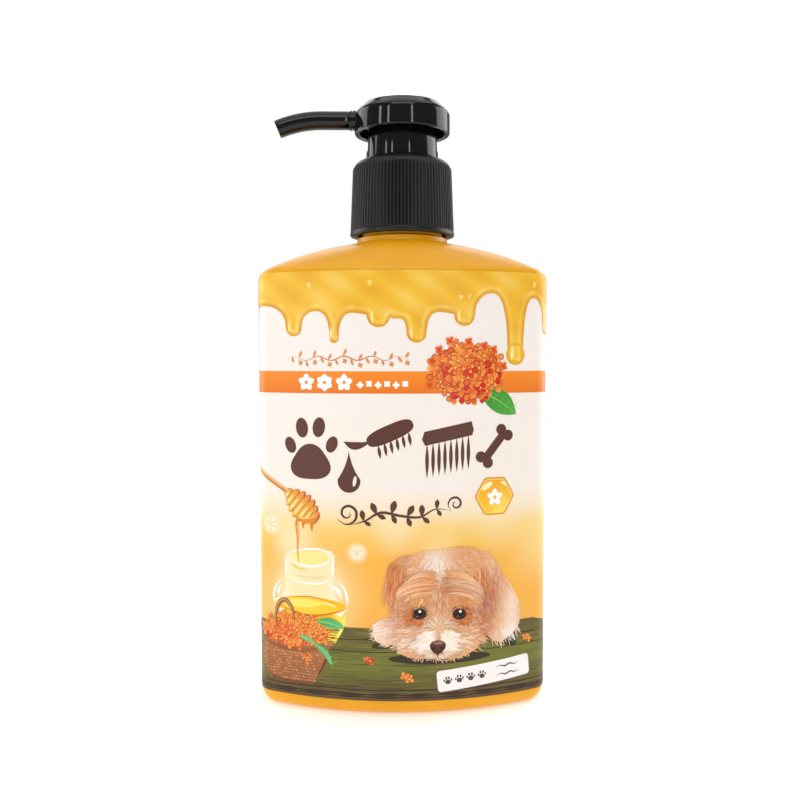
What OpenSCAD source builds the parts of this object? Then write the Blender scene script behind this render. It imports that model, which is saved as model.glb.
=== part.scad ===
// Pump bottle for pet shampoo: a flattened blow-moulded bottle with a printed
// sleeve and a lock-up lotion pump that screws on its neck.
// Origin: centre of the base. +Z up, front face towards -Y, nozzle towards -X.

/* [Bottle] */
// Width of the bottle across its front face
bottle_w = 78; // [76:0.5:80]
// Depth of the bottle, front to back
bottle_d = 42; // [41:0.5:43]
// Radius of the broad front and back faces, seen from above
face_r = 79; // [76:1:82]
// Radius of the narrow side faces, seen from above
side_r = 50; // [46:1:54]
// Radius of the four upright corners, seen from above
corner_r = 5.8; // [5.6:0.1:6.2]
// Wall thickness
wall = 1.2; // [1:0.1:1.4]
// Radius of the heel, where the wall meets the base
heel_r = 4.4; // [4:0.1:4.6]
// Crown radius of the shoulder, seen from the front
crown_r = 86; // [84:1:88]
// Radius of the shoulder's edge
edge_r = 4; // [3.5:0.1:4.5]
// Height where the crown would meet the axis
crown_z = 125.5; // [125:0.1:126]

/* [Sleeve] */
// Lower edge of the printed sleeve
sleeve_z0 = 4.4; // [4.4:0.1:5]
// Upper edge of the printed sleeve
sleeve_z1 = 115.8; // [115:0.1:116.2]
// Thickness of the sleeve film
film = 0.15; // [0.1:0.05:0.2]

/* [Neck] */
// Radius of the plain ring at the root of the neck
neck_ring_r = 12.4; // [12:0.1:12.6]
// Outside radius of the neck wall
neck_r = 10.95; // [10.8:0.05:11]
// Radius of the neck's bore
neck_bore_r = 9.3; // [9:0.1:9.4]
// Top of the neck
neck_top = 142.4; // [142.4:0.1:142.4]
// Thread pitch
pitch = 3.175; // [3.175:0.001:3.175]

/* [Closure] */
// Radius over the ribs at the bottom
closure_r = 14.3; // [14.2:0.05:14.5]
// Radius over the ribs at the top
closure_top_r = 13.6; // [13.5:0.05:13.8]
// Number of grip ribs
ribs = 90; // [60:2:100]
// Bottom and top of the closure
closure_z0 = 126.8; // [126.6:0.1:127]
closure_z1 = 147.4; // [147.4:0.1:147.4]

/* [Pump] */
// Working stroke of the pump
stroke = 6; // [4:0.5:6]
// Radius of the barrel's bore
barrel_bore_r = 6.62; // [6.6:0.01:6.64]
// Radius of the stem
stem_r = 3.5; // [3.4:0.05:3.5]
// Radius of the dip tube
tube_r = 3.2; // [3:0.1:3.2]
// Running clearance between the sliding pieces
fit_gap = 0.05; // [0.04:0.01:0.08]
// Number of spring coils
coils = 8; // [6:1:9]

/* [Head] */
// Radius of the head
head_r = 13.05; // [12.8:0.05:13.2]
// Lower rim of the head
rim_z = 154.6; // [154.6:0.1:155]
// Radius of the nozzle
nozzle_r = 2.5; // [2.3:0.1:2.6]
// Height of the nozzle's axis at the head
nozzle_z = 158.5; // [158.4:0.1:158.6]
// Radius of the nozzle's bend
bend_r = 31.2; // [30:0.2:32]
// Angle of the nozzle's tip below level
bend_deg = 23; // [20:0.5:24]

/* [Hidden] */
$fn = 96;

body_yellow = [0.94, 0.68, 0.13];
print_cream = [0.95, 0.9, 0.82];
gloss_black = [0.04, 0.04, 0.04];
satin_black = [0.1, 0.1, 0.1];
natural_white = [0.92, 0.93, 0.9];
steel_grey = [0.7, 0.71, 0.73];
mirror_silver = [0.85, 0.85, 0.87];

// ---- plan section of the bottle: four arcs joined by four corner arcs ----
face_c = [0, bottle_d / 2 - face_r];
side_c = [bottle_w / 2 - side_r, 0];
// Corner centre: inside both the face arc and the side arc by the corner's radius
cc_span = norm(side_c - face_c);
cc_face = face_r - corner_r;
cc_side = side_r - corner_r;
cc_along = (cc_face * cc_face - cc_side * cc_side + cc_span * cc_span) / (2 * cc_span);
cc_across = sqrt(cc_face * cc_face - cc_along * cc_along);
cc_dir = (side_c - face_c) / cc_span;
corner_c = face_c + cc_along * cc_dir + cc_across * [cc_dir[1], -cc_dir[0]];
face_end = atan2(corner_c[1] - face_c[1], corner_c[0] - face_c[0]);
side_end = atan2(corner_c[1] - side_c[1], corner_c[0] - side_c[0]);
face_steps = 9;
corner_steps = 6;
side_steps = 3;

function arc(c, r, a0, a1, n) =
    [for (i = [0 : n - 1]) c + r * [cos(a0 + (a1 - a0) * i / n), sin(a0 + (a1 - a0) * i / n)]];
// Quarter of the section, from the +X point to just before the +Y point, inset by d
function quarter(d) = concat(
    arc(side_c, side_r - d, 0, side_end, side_steps),
    arc(corner_c, corner_r - d, side_end, face_end, corner_steps),
    arc(face_c, face_r - d, face_end, 90, face_steps));
function flip(points, sx, sy) = [for (p = points) [p[0] * sx, p[1] * sy]];
function backwards(list) = [for (i = [len(list) - 1 : -1 : 0]) list[i]];
// The +Y point opens the second quarter, so that no point is repeated
function tail(d) = concat(
    [[0, bottle_d / 2 - d]],
    backwards([for (i = [1 : len(quarter(d)) - 1]) quarter(d)[i]]));
function half(d) = concat(quarter(d), flip(tail(d), -1, 1));
function section(d) = concat(half(d), [for (p = half(d)) -p]);
section_points = len(section(0));

// ---- shoulder profile: an edge arc, then the crown, from the wall to the neck ----
neck_root_r = 13;
crown_c = crown_z - crown_r;
edge_x = bottle_w / 2 - edge_r;
edge_z = crown_c + sqrt(pow(crown_r - edge_r, 2) - edge_x * edge_x);
edge_end = atan2(edge_z - crown_c, edge_x);
crown_steps = 6;
crown_x = crown_r * cos(edge_end);
function crown_height(x) = crown_c + sqrt(crown_r * crown_r - x * x);
// Angle on the edge arc at the sleeve's upper edge
sleeve_angle = asin((sleeve_z1 - edge_z) / edge_r);
edge_angles = [0, sleeve_angle / 2, sleeve_angle, (sleeve_angle + edge_end) / 2];
shoulder = concat(
    [for (a = edge_angles) [edge_x + edge_r * cos(a), edge_z + edge_r * sin(a)]],
    [for (i = [0 : crown_steps])
        let (x = crown_x + (neck_root_r - crown_x) * i / crown_steps) [x, crown_height(x)]]);

// One ring of the shoulder: the section drawn in towards the neck's circle
function toward_neck(x) = (x - neck_root_r) / (bottle_w / 2 - neck_root_r);
function shoulder_ring(x, z, d) =
    let (w = toward_neck(x))
    [for (p = section(d))
        let (c = (neck_root_r - d) * p / norm(p))
        [c[0] + w * (p[0] - c[0]), c[1] + w * (p[1] - c[1]), z]];
function flat_ring(d, z, s = 1) = [for (p = section(d)) [p[0] * s, p[1] * s, z]];
function circle_ring(r, z) = [for (p = section(0)) [r * p[0] / norm(p), r * p[1] / norm(p), z]];
function heel_ring(d, a) = flat_ring(d + heel_r * (1 - cos(a)), heel_r * (1 - sin(a)));

function flatten(lists) = [for (l = lists) for (p = l) p];
// Side faces between neighbouring rings of n points, numbered ring by ring
function skin(rings, n) = [for (r = [0 : rings - 2]) for (i = [0 : n - 1])
    let (j = (i + 1) % n, s = r + 1)
    each [[r * n + i, s * n + i, s * n + j], [r * n + i, s * n + j, r * n + j]]];
function cap(ring, n, up) = up
    ? [for (i = [n - 1 : -1 : 0]) ring * n + i]
    : [for (i = [0 : n - 1]) ring * n + i];

// A solid skinned over a list of rings, closed by a flat face at each end
module skinned(rings) {
    n = len(rings[0]);
    polyhedron(
        points = flatten(rings),
        faces = concat(skin(len(rings), n), [cap(0, n, false)], [cap(len(rings) - 1, n, true)]),
        convexity = 6);
}

// ---- sweeps round the axis: threads and the spring ----
// Each ring is a list of [radius, height] pairs, set at its own angle
function swung(pairs, angle) = [for (p = pairs) [p[0] * cos(angle), p[0] * sin(angle), p[1]]];

// A thread ridge: rises one pitch a turn and fades in at both ends
module thread(root_r, crest_r, z0, turns) {
    step = 10;
    fade = 40;
    total = turns * 360;
    root_half = 0.7;
    crest_half = 0.3;
    rings = [for (a = [0 : step : total])
        let (
            k = max(0.15, min(1, a / fade, (total - a) / fade)),
            r = root_r + (crest_r - root_r) * k,
            z = z0 + pitch * a / 360)
        swung([
            [root_r, z - root_half], [r, z - crest_half],
            [r, z + crest_half], [root_r, z + root_half]], a)];
    if (crest_r > root_r) skinned([for (i = [0 : len(rings) - 1]) backwards(rings[i])]);
    else skinned(rings);
}

// ---- bottle ----
heel_angles = [90, 67, 45, 22];
foot_inset = 5.4;
hollow_top_r = 11.4;
module bottle_shell() {
    outer = concat(
        [flat_ring(foot_inset, 1.2, 0.86)],
        [flat_ring(foot_inset, 0.9, 0.89)],
        [flat_ring(foot_inset, 0, 0.92)],
        [for (a = heel_angles) heel_ring(0, a)],
        [flat_ring(0, heel_r)],
        [for (p = shoulder) shoulder_ring(p[0], p[1], 0)],
        [circle_ring(hollow_top_r, crown_height(neck_root_r))]);
    inner = concat(
        [for (p = backwards(shoulder)) shoulder_ring(p[0], p[1] - wall, wall)],
        [flat_ring(wall, heel_r + wall)],
        [flat_ring(wall + 1.2, wall + 1.8)],
        [flat_ring(foot_inset, wall + 1.2)]);
    rings = concat(outer, [circle_ring(hollow_top_r, crown_height(neck_root_r) - wall)], inner);
    skinned(rings);
}
neck_crest_r = 11.9;
thread_z = 131.2;
neck_turns = 1.5;
module bottle() {
    color(body_yellow) {
        bottle_shell();
        difference() {
            union() {
                translate([0, 0, 123]) cylinder(h = 3.2, r = neck_ring_r);
                translate([0, 0, 124]) cylinder(h = neck_top - 124, r = neck_r);
                thread(neck_r - 0.4, neck_crest_r, thread_z, neck_turns);
            }
            translate([0, 0, 120]) cylinder(h = 30, r = neck_bore_r);
        }
    }
}

// ---- printed sleeve: a film round the wall, a hair outside it ----
film_gap = 0.03;
sleeve_rings = 3;
module label_sleeve() {
    out = film_gap + film;
    climb = [for (i = [0 : sleeve_rings - 1]) shoulder[i]];
    outer = concat(
        [flat_ring(-out, sleeve_z0)],
        [for (p = climb) shoulder_ring(p[0], p[1], -out)]);
    inner = concat(
        [flat_ring(-film_gap, sleeve_z0)],
        [for (p = climb) shoulder_ring(p[0], p[1], -film_gap)]);
    n = section_points;
    rings = concat(outer, backwards(inner), [outer[0]]);
    color(print_cream)
        polyhedron(points = flatten(rings), faces = ring_loop(len(rings) - 1, n), convexity = 6);
}
// Side faces of a closed loop of rings, where the last ring is the first one again
function ring_loop(count, n) = [for (r = [0 : count - 1]) for (i = [0 : n - 1])
    let (j = (i + 1) % n, s = (r + 1) % count)
    each [[r * n + i, s * n + i, s * n + j], [r * n + i, s * n + j, r * n + j]]];

// ---- closure: ribbed skirt, plain foot bead, rounded top with a hole for the collar ----
closure_bore_r = 12.1;
bead_h = 1.2;
skirt_top = 145;
web_z = 145.8;
collar_r = 9.9;
rib_h = 0.35;
closure_turns = 1.25;
module ribbed_skirt() {
    points = [for (i = [0 : ribs * 2 - 1])
        let (a = i * 180 / ribs, r = closure_r - (i % 2 == 0 ? 0 : rib_h))
        [r * cos(a), r * sin(a)]];
    rib_z0 = closure_z0 + bead_h - 0.1;
    translate([0, 0, rib_z0])
        linear_extrude(height = skirt_top - rib_z0, scale = closure_top_r / closure_r)
            polygon(points);
}
module closure_top() {
    top_r = closure_top_r - rib_h;
    round_in = 3.2;
    round_up = 2.4;
    rotate_extrude()
        polygon(concat(
            [[0, skirt_top - 0.2], [top_r, skirt_top - 0.2], [top_r, skirt_top]],
            [for (a = [15 : 15 : 75])
                [top_r - round_in * (1 - cos(a)), skirt_top + round_up * sin(a)]],
            [[top_r - round_in, closure_z1], [0, closure_z1]]));
}
module closure() {
    color(satin_black) {
        difference() {
            union() {
                ribbed_skirt();
                translate([0, 0, closure_z0]) cylinder(h = bead_h, r = closure_r + 0.05);
                closure_top();
            }
            translate([0, 0, closure_z0 - 1])
                cylinder(h = web_z - closure_z0 + 1, r = closure_bore_r);
            translate([0, 0, web_z - 1]) cylinder(h = 5, r = collar_r + 0.08);
        }
        thread(closure_bore_r + 0.4, neck_crest_r + fit_gap, thread_z - 1.25, closure_turns);
    }
}

// ---- gasket between the neck and the pump's flange ----
flange_z = 143.4;
gasket_bore_r = 8.2;
module neck_gasket() {
    color(natural_white)
        translate([0, 0, neck_top + 0.01]) difference() {
            cylinder(h = flange_z - neck_top - 0.01, r = neck_r);
            translate([0, 0, -1]) cylinder(h = 3, r = gasket_bore_r);
        }
}

// ---- pump housing: flange, barrel, valve seat and tube socket ----
flange_r = 11.2;
flange_top = 144.6;
barrel_r = 7.9;
floor_z = 104;
seat_z = 101;
seat_r = 1.9;
socket_z0 = 86;
socket_z1 = 97;
socket_r = 4.5;
vent_z = 134.6;
vent_r = 0.6;
module pump_housing() {
    color(natural_white) difference() {
        rotate_extrude() polygon([
            [0, socket_z0], [socket_r, socket_z0], [socket_r, socket_z1 + 1.5],
            [barrel_r, floor_z], [barrel_r, flange_z],
            [flange_r, flange_z], [flange_r, flange_top], [0, flange_top]]);
        translate([0, 0, floor_z]) cylinder(h = 50, r = barrel_bore_r);
        translate([0, 0, seat_z]) cylinder(h = 5, r = 3);
        translate([0, 0, socket_z1 - 1]) cylinder(h = 5, r = seat_r);
        translate([0, 0, socket_z0 - 1]) cylinder(h = socket_z1 - socket_z0 + 1, r = tube_r);
        translate([0, 0, vent_z]) rotate([90, 0, 0]) cylinder(h = 20, r = vent_r);
    }
}

// ---- guide collar: fixed sleeve under the head, with two slots that let the duct down ----
collar_top = 155.3;
collar_top_r = 9.6;
collar_bore_r = 8.3;
plug_z = 137.85;
plug_r = barrel_bore_r - 0.02;
floor_top = 146.4;
slot_w = 5.4;
duct_r = 2.3;
slot_z = nozzle_z - duct_r - stroke - 0.4;
module guide_collar() {
    color(gloss_black) difference() {
        rotate_extrude() polygon([
            [stem_r + fit_gap, plug_z], [plug_r, plug_z], [plug_r, flange_top],
            [flange_r, flange_top], [flange_r, web_z - 0.05], [collar_r, web_z - 0.05],
            [collar_r, closure_z1 + 0.05], [collar_r + 0.25, closure_z1 + 0.2],
            [collar_r, closure_z1 + 0.5], [collar_top_r, collar_top],
            [collar_bore_r, collar_top], [collar_bore_r, floor_top],
            [stem_r + fit_gap, floor_top]]);
        for (side = [0, 180])
            rotate([0, 0, side]) translate([-20, -slot_w / 2, slot_z]) cube([15, slot_w, 20]);
    }
}

// ---- dip tube, cut at a slant at its foot ----
tube_z0 = 4.5;
tube_z1 = 96.5;
tube_bore_r = 2.2;
tube_slant = 25;
module dip_tube() {
    color(natural_white) difference() {
        translate([0, 0, tube_z0]) cylinder(h = tube_z1 - tube_z0, r = tube_r);
        cylinder(h = 100, r = tube_bore_r);
        translate([0, 0, tube_z0]) rotate([0, tube_slant, 0])
            translate([-10, -10, -20]) cube([20, 20, 20]);
    }
}

// ---- check valves ----
inlet_ball_r = 2.5;
// Each ball rests a hair above the edge of its seat
ball_gap = 0.03;
inlet_ball_z = seat_z + sqrt(inlet_ball_r * inlet_ball_r - seat_r * seat_r) + ball_gap;
module inlet_ball() {
    color(steel_grey) translate([0, 0, inlet_ball_z]) sphere(r = inlet_ball_r);
}
cage_base = 1.2;
cage_bore_r = 2.9;
cage_top_z = 2.9;
module ball_cage() {
    color(natural_white) {
        translate([0, 0, floor_z]) difference() {
            cylinder(h = cage_base, r = plug_r);
            translate([0, 0, -1]) cylinder(h = 5, r = cage_bore_r);
        }
        translate([0, 0, floor_z + cage_top_z]) difference() {
            cylinder(h = 0.8, r = 3.7);
            translate([0, 0, -1]) cylinder(h = 5, r = 1.5);
        }
        for (a = [0 : 90 : 270])
            rotate([0, 0, a]) translate([2.95, -0.5, floor_z + 0.4]) cube([0.7, 1, 2.8]);
    }
}
outlet_seat_z = 150;
outlet_seat_r = 1.5;
outlet_ball_r = 2;
module outlet_ball() {
    drop = sqrt(outlet_ball_r * outlet_ball_r - outlet_seat_r * outlet_seat_r);
    color(steel_grey) translate([0, 0, outlet_seat_z + drop + ball_gap]) sphere(r = outlet_ball_r);
}

// ---- return spring: closed end coils, round wire ----
spring_z0 = floor_z + cage_base + 0.02;
retainer_z0 = 129.6;
spring_r = 4.75;
wire_r = 0.4;
module return_spring() {
    per_turn = 18;
    last = coils * per_turn;
    travel = retainer_z0 - spring_z0 - 0.02 - 2 * wire_r;
    close = 2 * wire_r / travel;
    // Share of the climb at turn t: one flat coil at each end, even coils between
    function climb(t) =
        t < 1 ? close * t
        : t > coils - 1 ? 1 - close * (coils - t)
        : close + (1 - 2 * close) * (t - 1) / (coils - 2);
    rings = [for (i = [0 : last])
        let (t = i / per_turn, z = spring_z0 + wire_r + travel * climb(t))
        swung(
            [for (k = [0 : 5]) [spring_r + wire_r * cos(60 * k), z + wire_r * sin(60 * k)]],
            360 * t)];
    color(steel_grey) skinned(rings);
}

// ---- piston, its retainer and the hollow stem ----
piston_z0 = 132.6;
piston_z1 = 136.6;
module piston() {
    lip_r = barrel_bore_r - fit_gap;
    color(natural_white) rotate_extrude() polygon([
        [stem_r + fit_gap, piston_z0], [5.2, piston_z0],
        [lip_r, piston_z0 - 0.6], [lip_r, piston_z0 + 0.4],
        [5.9, piston_z0 + 1.1], [5.9, piston_z1 - 1.1],
        [lip_r, piston_z1 - 0.4], [lip_r, piston_z1 + 0.6],
        [5.2, piston_z1], [stem_r + fit_gap, piston_z1]]);
}
module piston_retainer() {
    color(natural_white) rotate_extrude() polygon([
        [outlet_seat_r, retainer_z0], [5.3, retainer_z0], [5.3, 130.8], [4.6, 130.8],
        [4.6, piston_z0 - 0.05], [stem_r, piston_z0 - 0.05],
        [stem_r, stem_foot], [outlet_seat_r, stem_foot]]);
}
stem_foot = 130.5;
stem_top = 157;
land_r = 4.7;
chamber_r = 2.35;
module stem() {
    color(natural_white) difference() {
        rotate_extrude() polygon([
            [0, stem_foot], [stem_r, stem_foot], [stem_r, piston_z1 + 0.05],
            [land_r, piston_z1 + 0.05], [land_r, plug_z - 0.05], [stem_r, plug_z - 0.05],
            [stem_r, stem_top], [0, stem_top]]);
        translate([0, 0, 120]) cylinder(h = 35, r = outlet_seat_r);
        translate([0, 0, outlet_seat_z]) cylinder(h = 10, r = chamber_r);
    }
}

// ---- actuator head: rim, roof, stem socket and duct ----
roof_z = collar_top + stroke + 0.3;
cap_seat_z = 162.3;
cap_r = 10.5;
spigot_r = 1.95;
spigot_x = 11;
root_x = 14.3;
duct_bore_r = 1.5;
skirt_bore_r = 11.6;
module head_shell() {
    rotate_extrude() polygon([
        [0, roof_z], [10, roof_z], [11.2, roof_z - 1.2], [skirt_bore_r, roof_z - 3],
        [skirt_bore_r, rim_z + 0.3], [skirt_bore_r + 0.3, rim_z],
        [head_r - 0.4, rim_z], [head_r, rim_z + 0.4], [head_r, 159.6], [head_r - 0.2, 160.2],
        [head_r - 0.7, 160.8], [head_r - 1.5, 161.5], [cap_r + 0.3, cap_seat_z + 0.2],
        [cap_r + 0.05, cap_seat_z + 0.2], [cap_r + 0.05, cap_seat_z], [0, cap_seat_z]]);
}
// Short boss on the skirt that the nozzle's root butts against
boss_x = 11.9;
boss_r = 2.75;
module actuator_head() {
    color(gloss_black) difference() {
        union() {
            head_shell();
            translate([0, 0, 152.8]) cylinder(h = roof_z - 152.5, r = 4.9);
            translate([0, 0, nozzle_z]) rotate([0, -90, 0]) cylinder(h = 12.5, r = duct_r);
            translate([-boss_x, 0, nozzle_z]) rotate([0, -90, 0])
                cylinder(h = root_x - boss_x, r = boss_r);
        }
        translate([0, 0, 150]) cylinder(h = stem_top - 149.8, r = stem_r);
        translate([0, 0, stem_top]) cylinder(h = 3.3, r = chamber_r);
        translate([0, 0, nozzle_z]) rotate([0, -90, 0]) cylinder(h = 20, r = duct_bore_r);
        translate([-spigot_x, 0, nozzle_z]) rotate([0, -90, 0]) cylinder(h = 20, r = spigot_r);
    }
}

// ---- bright domed cap set in the head's top ----
cap_rise = 2.7;
cap_sphere_r = (cap_r * cap_r + cap_rise * cap_rise) / (2 * cap_rise);
module head_cap() {
    color(mirror_silver) intersection() {
        translate([0, 0, cap_seat_z + cap_rise - cap_sphere_r]) sphere(r = cap_sphere_r);
        translate([0, 0, cap_seat_z]) cylinder(h = 10, r = cap_r - 0.02);
    }
}

// ---- nozzle: spigot, straight run and a bend down to the tip ----
bend_x = 22;
module nozzle_path(r, start_x, extra_deg) {
    translate([-start_x, 0, nozzle_z]) rotate([0, -90, 0]) cylinder(h = bend_x - start_x, r = r);
    translate([-bend_x, 0, nozzle_z - bend_r]) rotate([90, 0, 0]) rotate([0, 0, 90])
        rotate_extrude(angle = bend_deg + extra_deg) translate([bend_r, 0]) circle(r = r);
}
module nozzle() {
    color(gloss_black) difference() {
        union() {
            nozzle_path(nozzle_r, root_x, 0);
            translate([-spigot_x, 0, nozzle_z]) rotate([0, -90, 0])
                cylinder(h = root_x - spigot_x + 1, r = spigot_r);
        }
        nozzle_path(duct_bore_r, spigot_x - 1, 3);
    }
}

bottle();
label_sleeve();
closure();
neck_gasket();
guide_collar();
pump_housing();
dip_tube();
inlet_ball();
ball_cage();
return_spring();
piston();
piston_retainer();
stem();
outlet_ball();
actuator_head();
head_cap();
nozzle();
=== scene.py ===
# %% [markdown]
# # A pump bottle of pet shampoo
# The real object is a flattened, blow-moulded bottle in honey yellow, wrapped in a
# printed film, with a black lotion pump screwed on its neck. The design model fixes
# every size and every joint. This lesson only makes the surfaces that are seen.
# Everything is in metres, and the front of the bottle faces -Y.

# %% Load the frame
import math
import random

import bmesh
import bpy
from mathutils import Matrix, Vector


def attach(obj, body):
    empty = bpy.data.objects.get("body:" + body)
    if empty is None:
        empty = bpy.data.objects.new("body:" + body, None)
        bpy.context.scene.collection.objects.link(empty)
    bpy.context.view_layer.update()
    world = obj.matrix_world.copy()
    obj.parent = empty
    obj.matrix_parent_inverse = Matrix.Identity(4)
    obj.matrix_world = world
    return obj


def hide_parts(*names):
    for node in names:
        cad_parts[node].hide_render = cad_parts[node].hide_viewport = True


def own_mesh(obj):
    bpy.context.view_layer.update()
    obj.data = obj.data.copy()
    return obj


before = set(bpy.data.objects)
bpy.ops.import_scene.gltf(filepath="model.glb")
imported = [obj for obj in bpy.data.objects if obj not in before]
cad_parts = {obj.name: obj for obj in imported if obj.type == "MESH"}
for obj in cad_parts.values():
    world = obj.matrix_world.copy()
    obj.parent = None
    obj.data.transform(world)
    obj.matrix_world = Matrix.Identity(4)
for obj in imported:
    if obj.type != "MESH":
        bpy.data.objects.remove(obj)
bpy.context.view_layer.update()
MM = 0.001

# %% [markdown]
# ## Camera and light
# A product shot is taken from a little above the middle of the bottle's front, from
# close by, with an ordinary lens. White boards either side give the black
# plastic its pale edges, and narrow strip lights give it its fine upright glints.

# %% Camera
camera_data = bpy.data.cameras.new("product_camera")
camera_data.lens = 39.5
camera_data.clip_start = 0.01
camera = bpy.data.objects.new("product_camera", camera_data)
camera.location = (-0.0055, -0.2448, 0.0941)
camera.rotation_euler = (math.pi / 2 - 0.0505, 0, -0.02)
bpy.context.collection.objects.link(camera)
bpy.context.scene.camera = camera
bpy.context.scene.view_settings.view_transform = "Standard"

# %% Studio lights, each an area light aimed at the bottle
AIM = Vector((0, 0, 0.085))


def studio_light(name, place, width, height, watts):
    data = bpy.data.lights.new(name, "AREA")
    data.shape = "RECTANGLE"
    data.size, data.size_y, data.energy = width, height, watts
    light = bpy.data.objects.new(name, data)
    light.location = place
    light.rotation_euler = (AIM - Vector(place)).to_track_quat("-Z", "Y").to_euler()
    bpy.context.collection.objects.link(light)
    return light


studio_light("overhead_board", (0, 0.0, 0.8), 0.9, 0.7, 2.1)
studio_light("front_top_board", (0, -0.6, 0.72), 0.7, 0.35, 1.95)
studio_light("rear_top_board", (0, 0.6, 0.58), 1.0, 0.4, 2.0)
studio_light("outer_left_strip", (-0.53, -0.38, 0.18), 0.05, 0.45, 0.55)
studio_light("left_strip", (-0.36, -0.54, 0.18), 0.03, 0.45, 0.45)
studio_light("right_strip", (0.24, -0.60, 0.18), 0.03, 0.45, 0.4)
studio_light("left_board", (-0.55, 0.22, 0.15), 0.4, 0.7, 2.2)
studio_light("right_board", (0.55, 0.22, 0.15), 0.5, 0.7, 3.2)

# %% A white surround: bright where it is seen, softer where it only lights
world = bpy.data.worlds.new("studio")
world.use_nodes = True
surround = world.node_tree.nodes["Background"]
path = world.node_tree.nodes.new("ShaderNodeLightPath")
level = world.node_tree.nodes.new("ShaderNodeMapRange")
level.inputs["To Min"].default_value, level.inputs["To Max"].default_value = 0.253, 1.0
world.node_tree.links.new(path.outputs["Is Camera Ray"], level.inputs["Value"])
world.node_tree.links.new(level.outputs["Result"], surround.inputs["Strength"])
surround.inputs["Color"].default_value = (1, 1, 1, 1)
bpy.context.scene.world = world

# %% [markdown]
# ## Modelling helpers
# Most pieces of a bottle and pump are lofts: one ring of points, drawn along and
# reshaped at every step. `loft` starts from bmesh's own circle and extrudes its edge
# again and again. `lathe` spins a short profile about the pump's axis.

# %% Making, placing and finishing a piece
def finish_piece(bm, name, body, replaces=(), smooth_angle=40, material=None):
    """Turns a bmesh into a piece at the origin that rides a body."""
    bmesh.ops.remove_doubles(bm, verts=bm.verts, dist=1e-7)
    bmesh.ops.recalc_face_normals(bm, faces=bm.faces)
    mesh = bpy.data.meshes.new(name)
    bm.to_mesh(mesh)
    bm.free()
    piece = bpy.data.objects.new(name, mesh)
    bpy.context.collection.objects.link(piece)
    for polygon in mesh.polygons:
        polygon.use_smooth = True
    mesh.set_sharp_from_angle(angle=math.radians(smooth_angle))
    if material:
        mesh.materials.append(material)
    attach(piece, body)
    if replaces:
        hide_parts(*replaces)
    return piece


def loft(bm, rings, close_start=False, close_end=False, loop=False):
    """Skins a list of rings, each a list of (x, y, z) in mm."""
    count = len(rings[0])
    made = bmesh.ops.create_circle(bm, segments=count, radius=1)
    first = made["verts"]
    for vert, point in zip(first, rings[0]):
        vert.co = Vector(point) * MM
    edges = [bm.edges.get((first[i], first[(i + 1) % count])) for i in range(count)]
    if close_start:
        bmesh.ops.contextual_create(bm, geom=first)
    last = first
    for ring in rings[1:]:
        drawn = bmesh.ops.extrude_edge_only(bm, edges=edges)["geom"]
        new_verts = [g for g in drawn if isinstance(g, bmesh.types.BMVert)]
        new_set = set(new_verts)
        partner = {}
        for vert in new_verts:
            for edge in vert.link_edges:
                other = edge.other_vert(vert)
                if other not in new_set:
                    partner[other] = vert
        last = [partner[v] for v in last]
        for vert, point in zip(last, ring):
            vert.co = Vector(point) * MM
        edges = [bm.edges.get((last[i], last[(i + 1) % count])) for i in range(count)]
    if loop:
        bmesh.ops.bridge_loops(bm, edges=edges + [bm.edges.get((first[i],
                                                                first[(i + 1) % count])) for i in range(count)])
    if close_end:
        bmesh.ops.contextual_create(bm, geom=last)


def lathe(profile, steps=96, closed=False):
    """Spins (radius, height) pairs in mm about the pump's axis."""
    bm = bmesh.new()
    verts = [bm.verts.new((r * MM, 0, z * MM)) for r, z in profile]
    pairs = list(zip(verts, verts[1:]))
    if closed:
        pairs.append((verts[-1], verts[0]))
    edges = [bm.edges.new(pair) for pair in pairs]
    bmesh.ops.spin(
        bm, geom=verts + edges, cent=(0, 0, 0), axis=(0, 0, 1), angle=2 * math.pi,
        steps=steps, use_merge=True)
    bmesh.ops.remove_doubles(bm, verts=bm.verts, dist=1e-7)
    return bm


def arc(centre, radius, start, end, steps):
    """Points on an arc, angles in degrees, both ends included."""
    cx, cy = centre
    return [
        (cx + radius * math.cos(math.radians(start + (end - start) * i / steps)),
         cy + radius * math.sin(math.radians(start + (end - start) * i / steps)))
        for i in range(steps + 1)]


# %% [markdown]
# ## Shader helpers
# Each finish starts from a Principled shader. One effect is shared by most of
# them, so it is a node group: `surface_relief` breaks up gloss and gives a fine
# moulded ripple.

# %% Shader node groups
def new_group(name, inputs, outputs):
    group = bpy.data.node_groups.new(name, "ShaderNodeTree")
    for label, kind, value in inputs:
        socket = group.interface.new_socket(label, in_out="INPUT", socket_type=kind)
        if value is not None:
            socket.default_value = value
    for label, kind in outputs:
        group.interface.new_socket(label, in_out="OUTPUT", socket_type=kind)
    return group, group.nodes.new("NodeGroupInput"), group.nodes.new("NodeGroupOutput")


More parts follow.
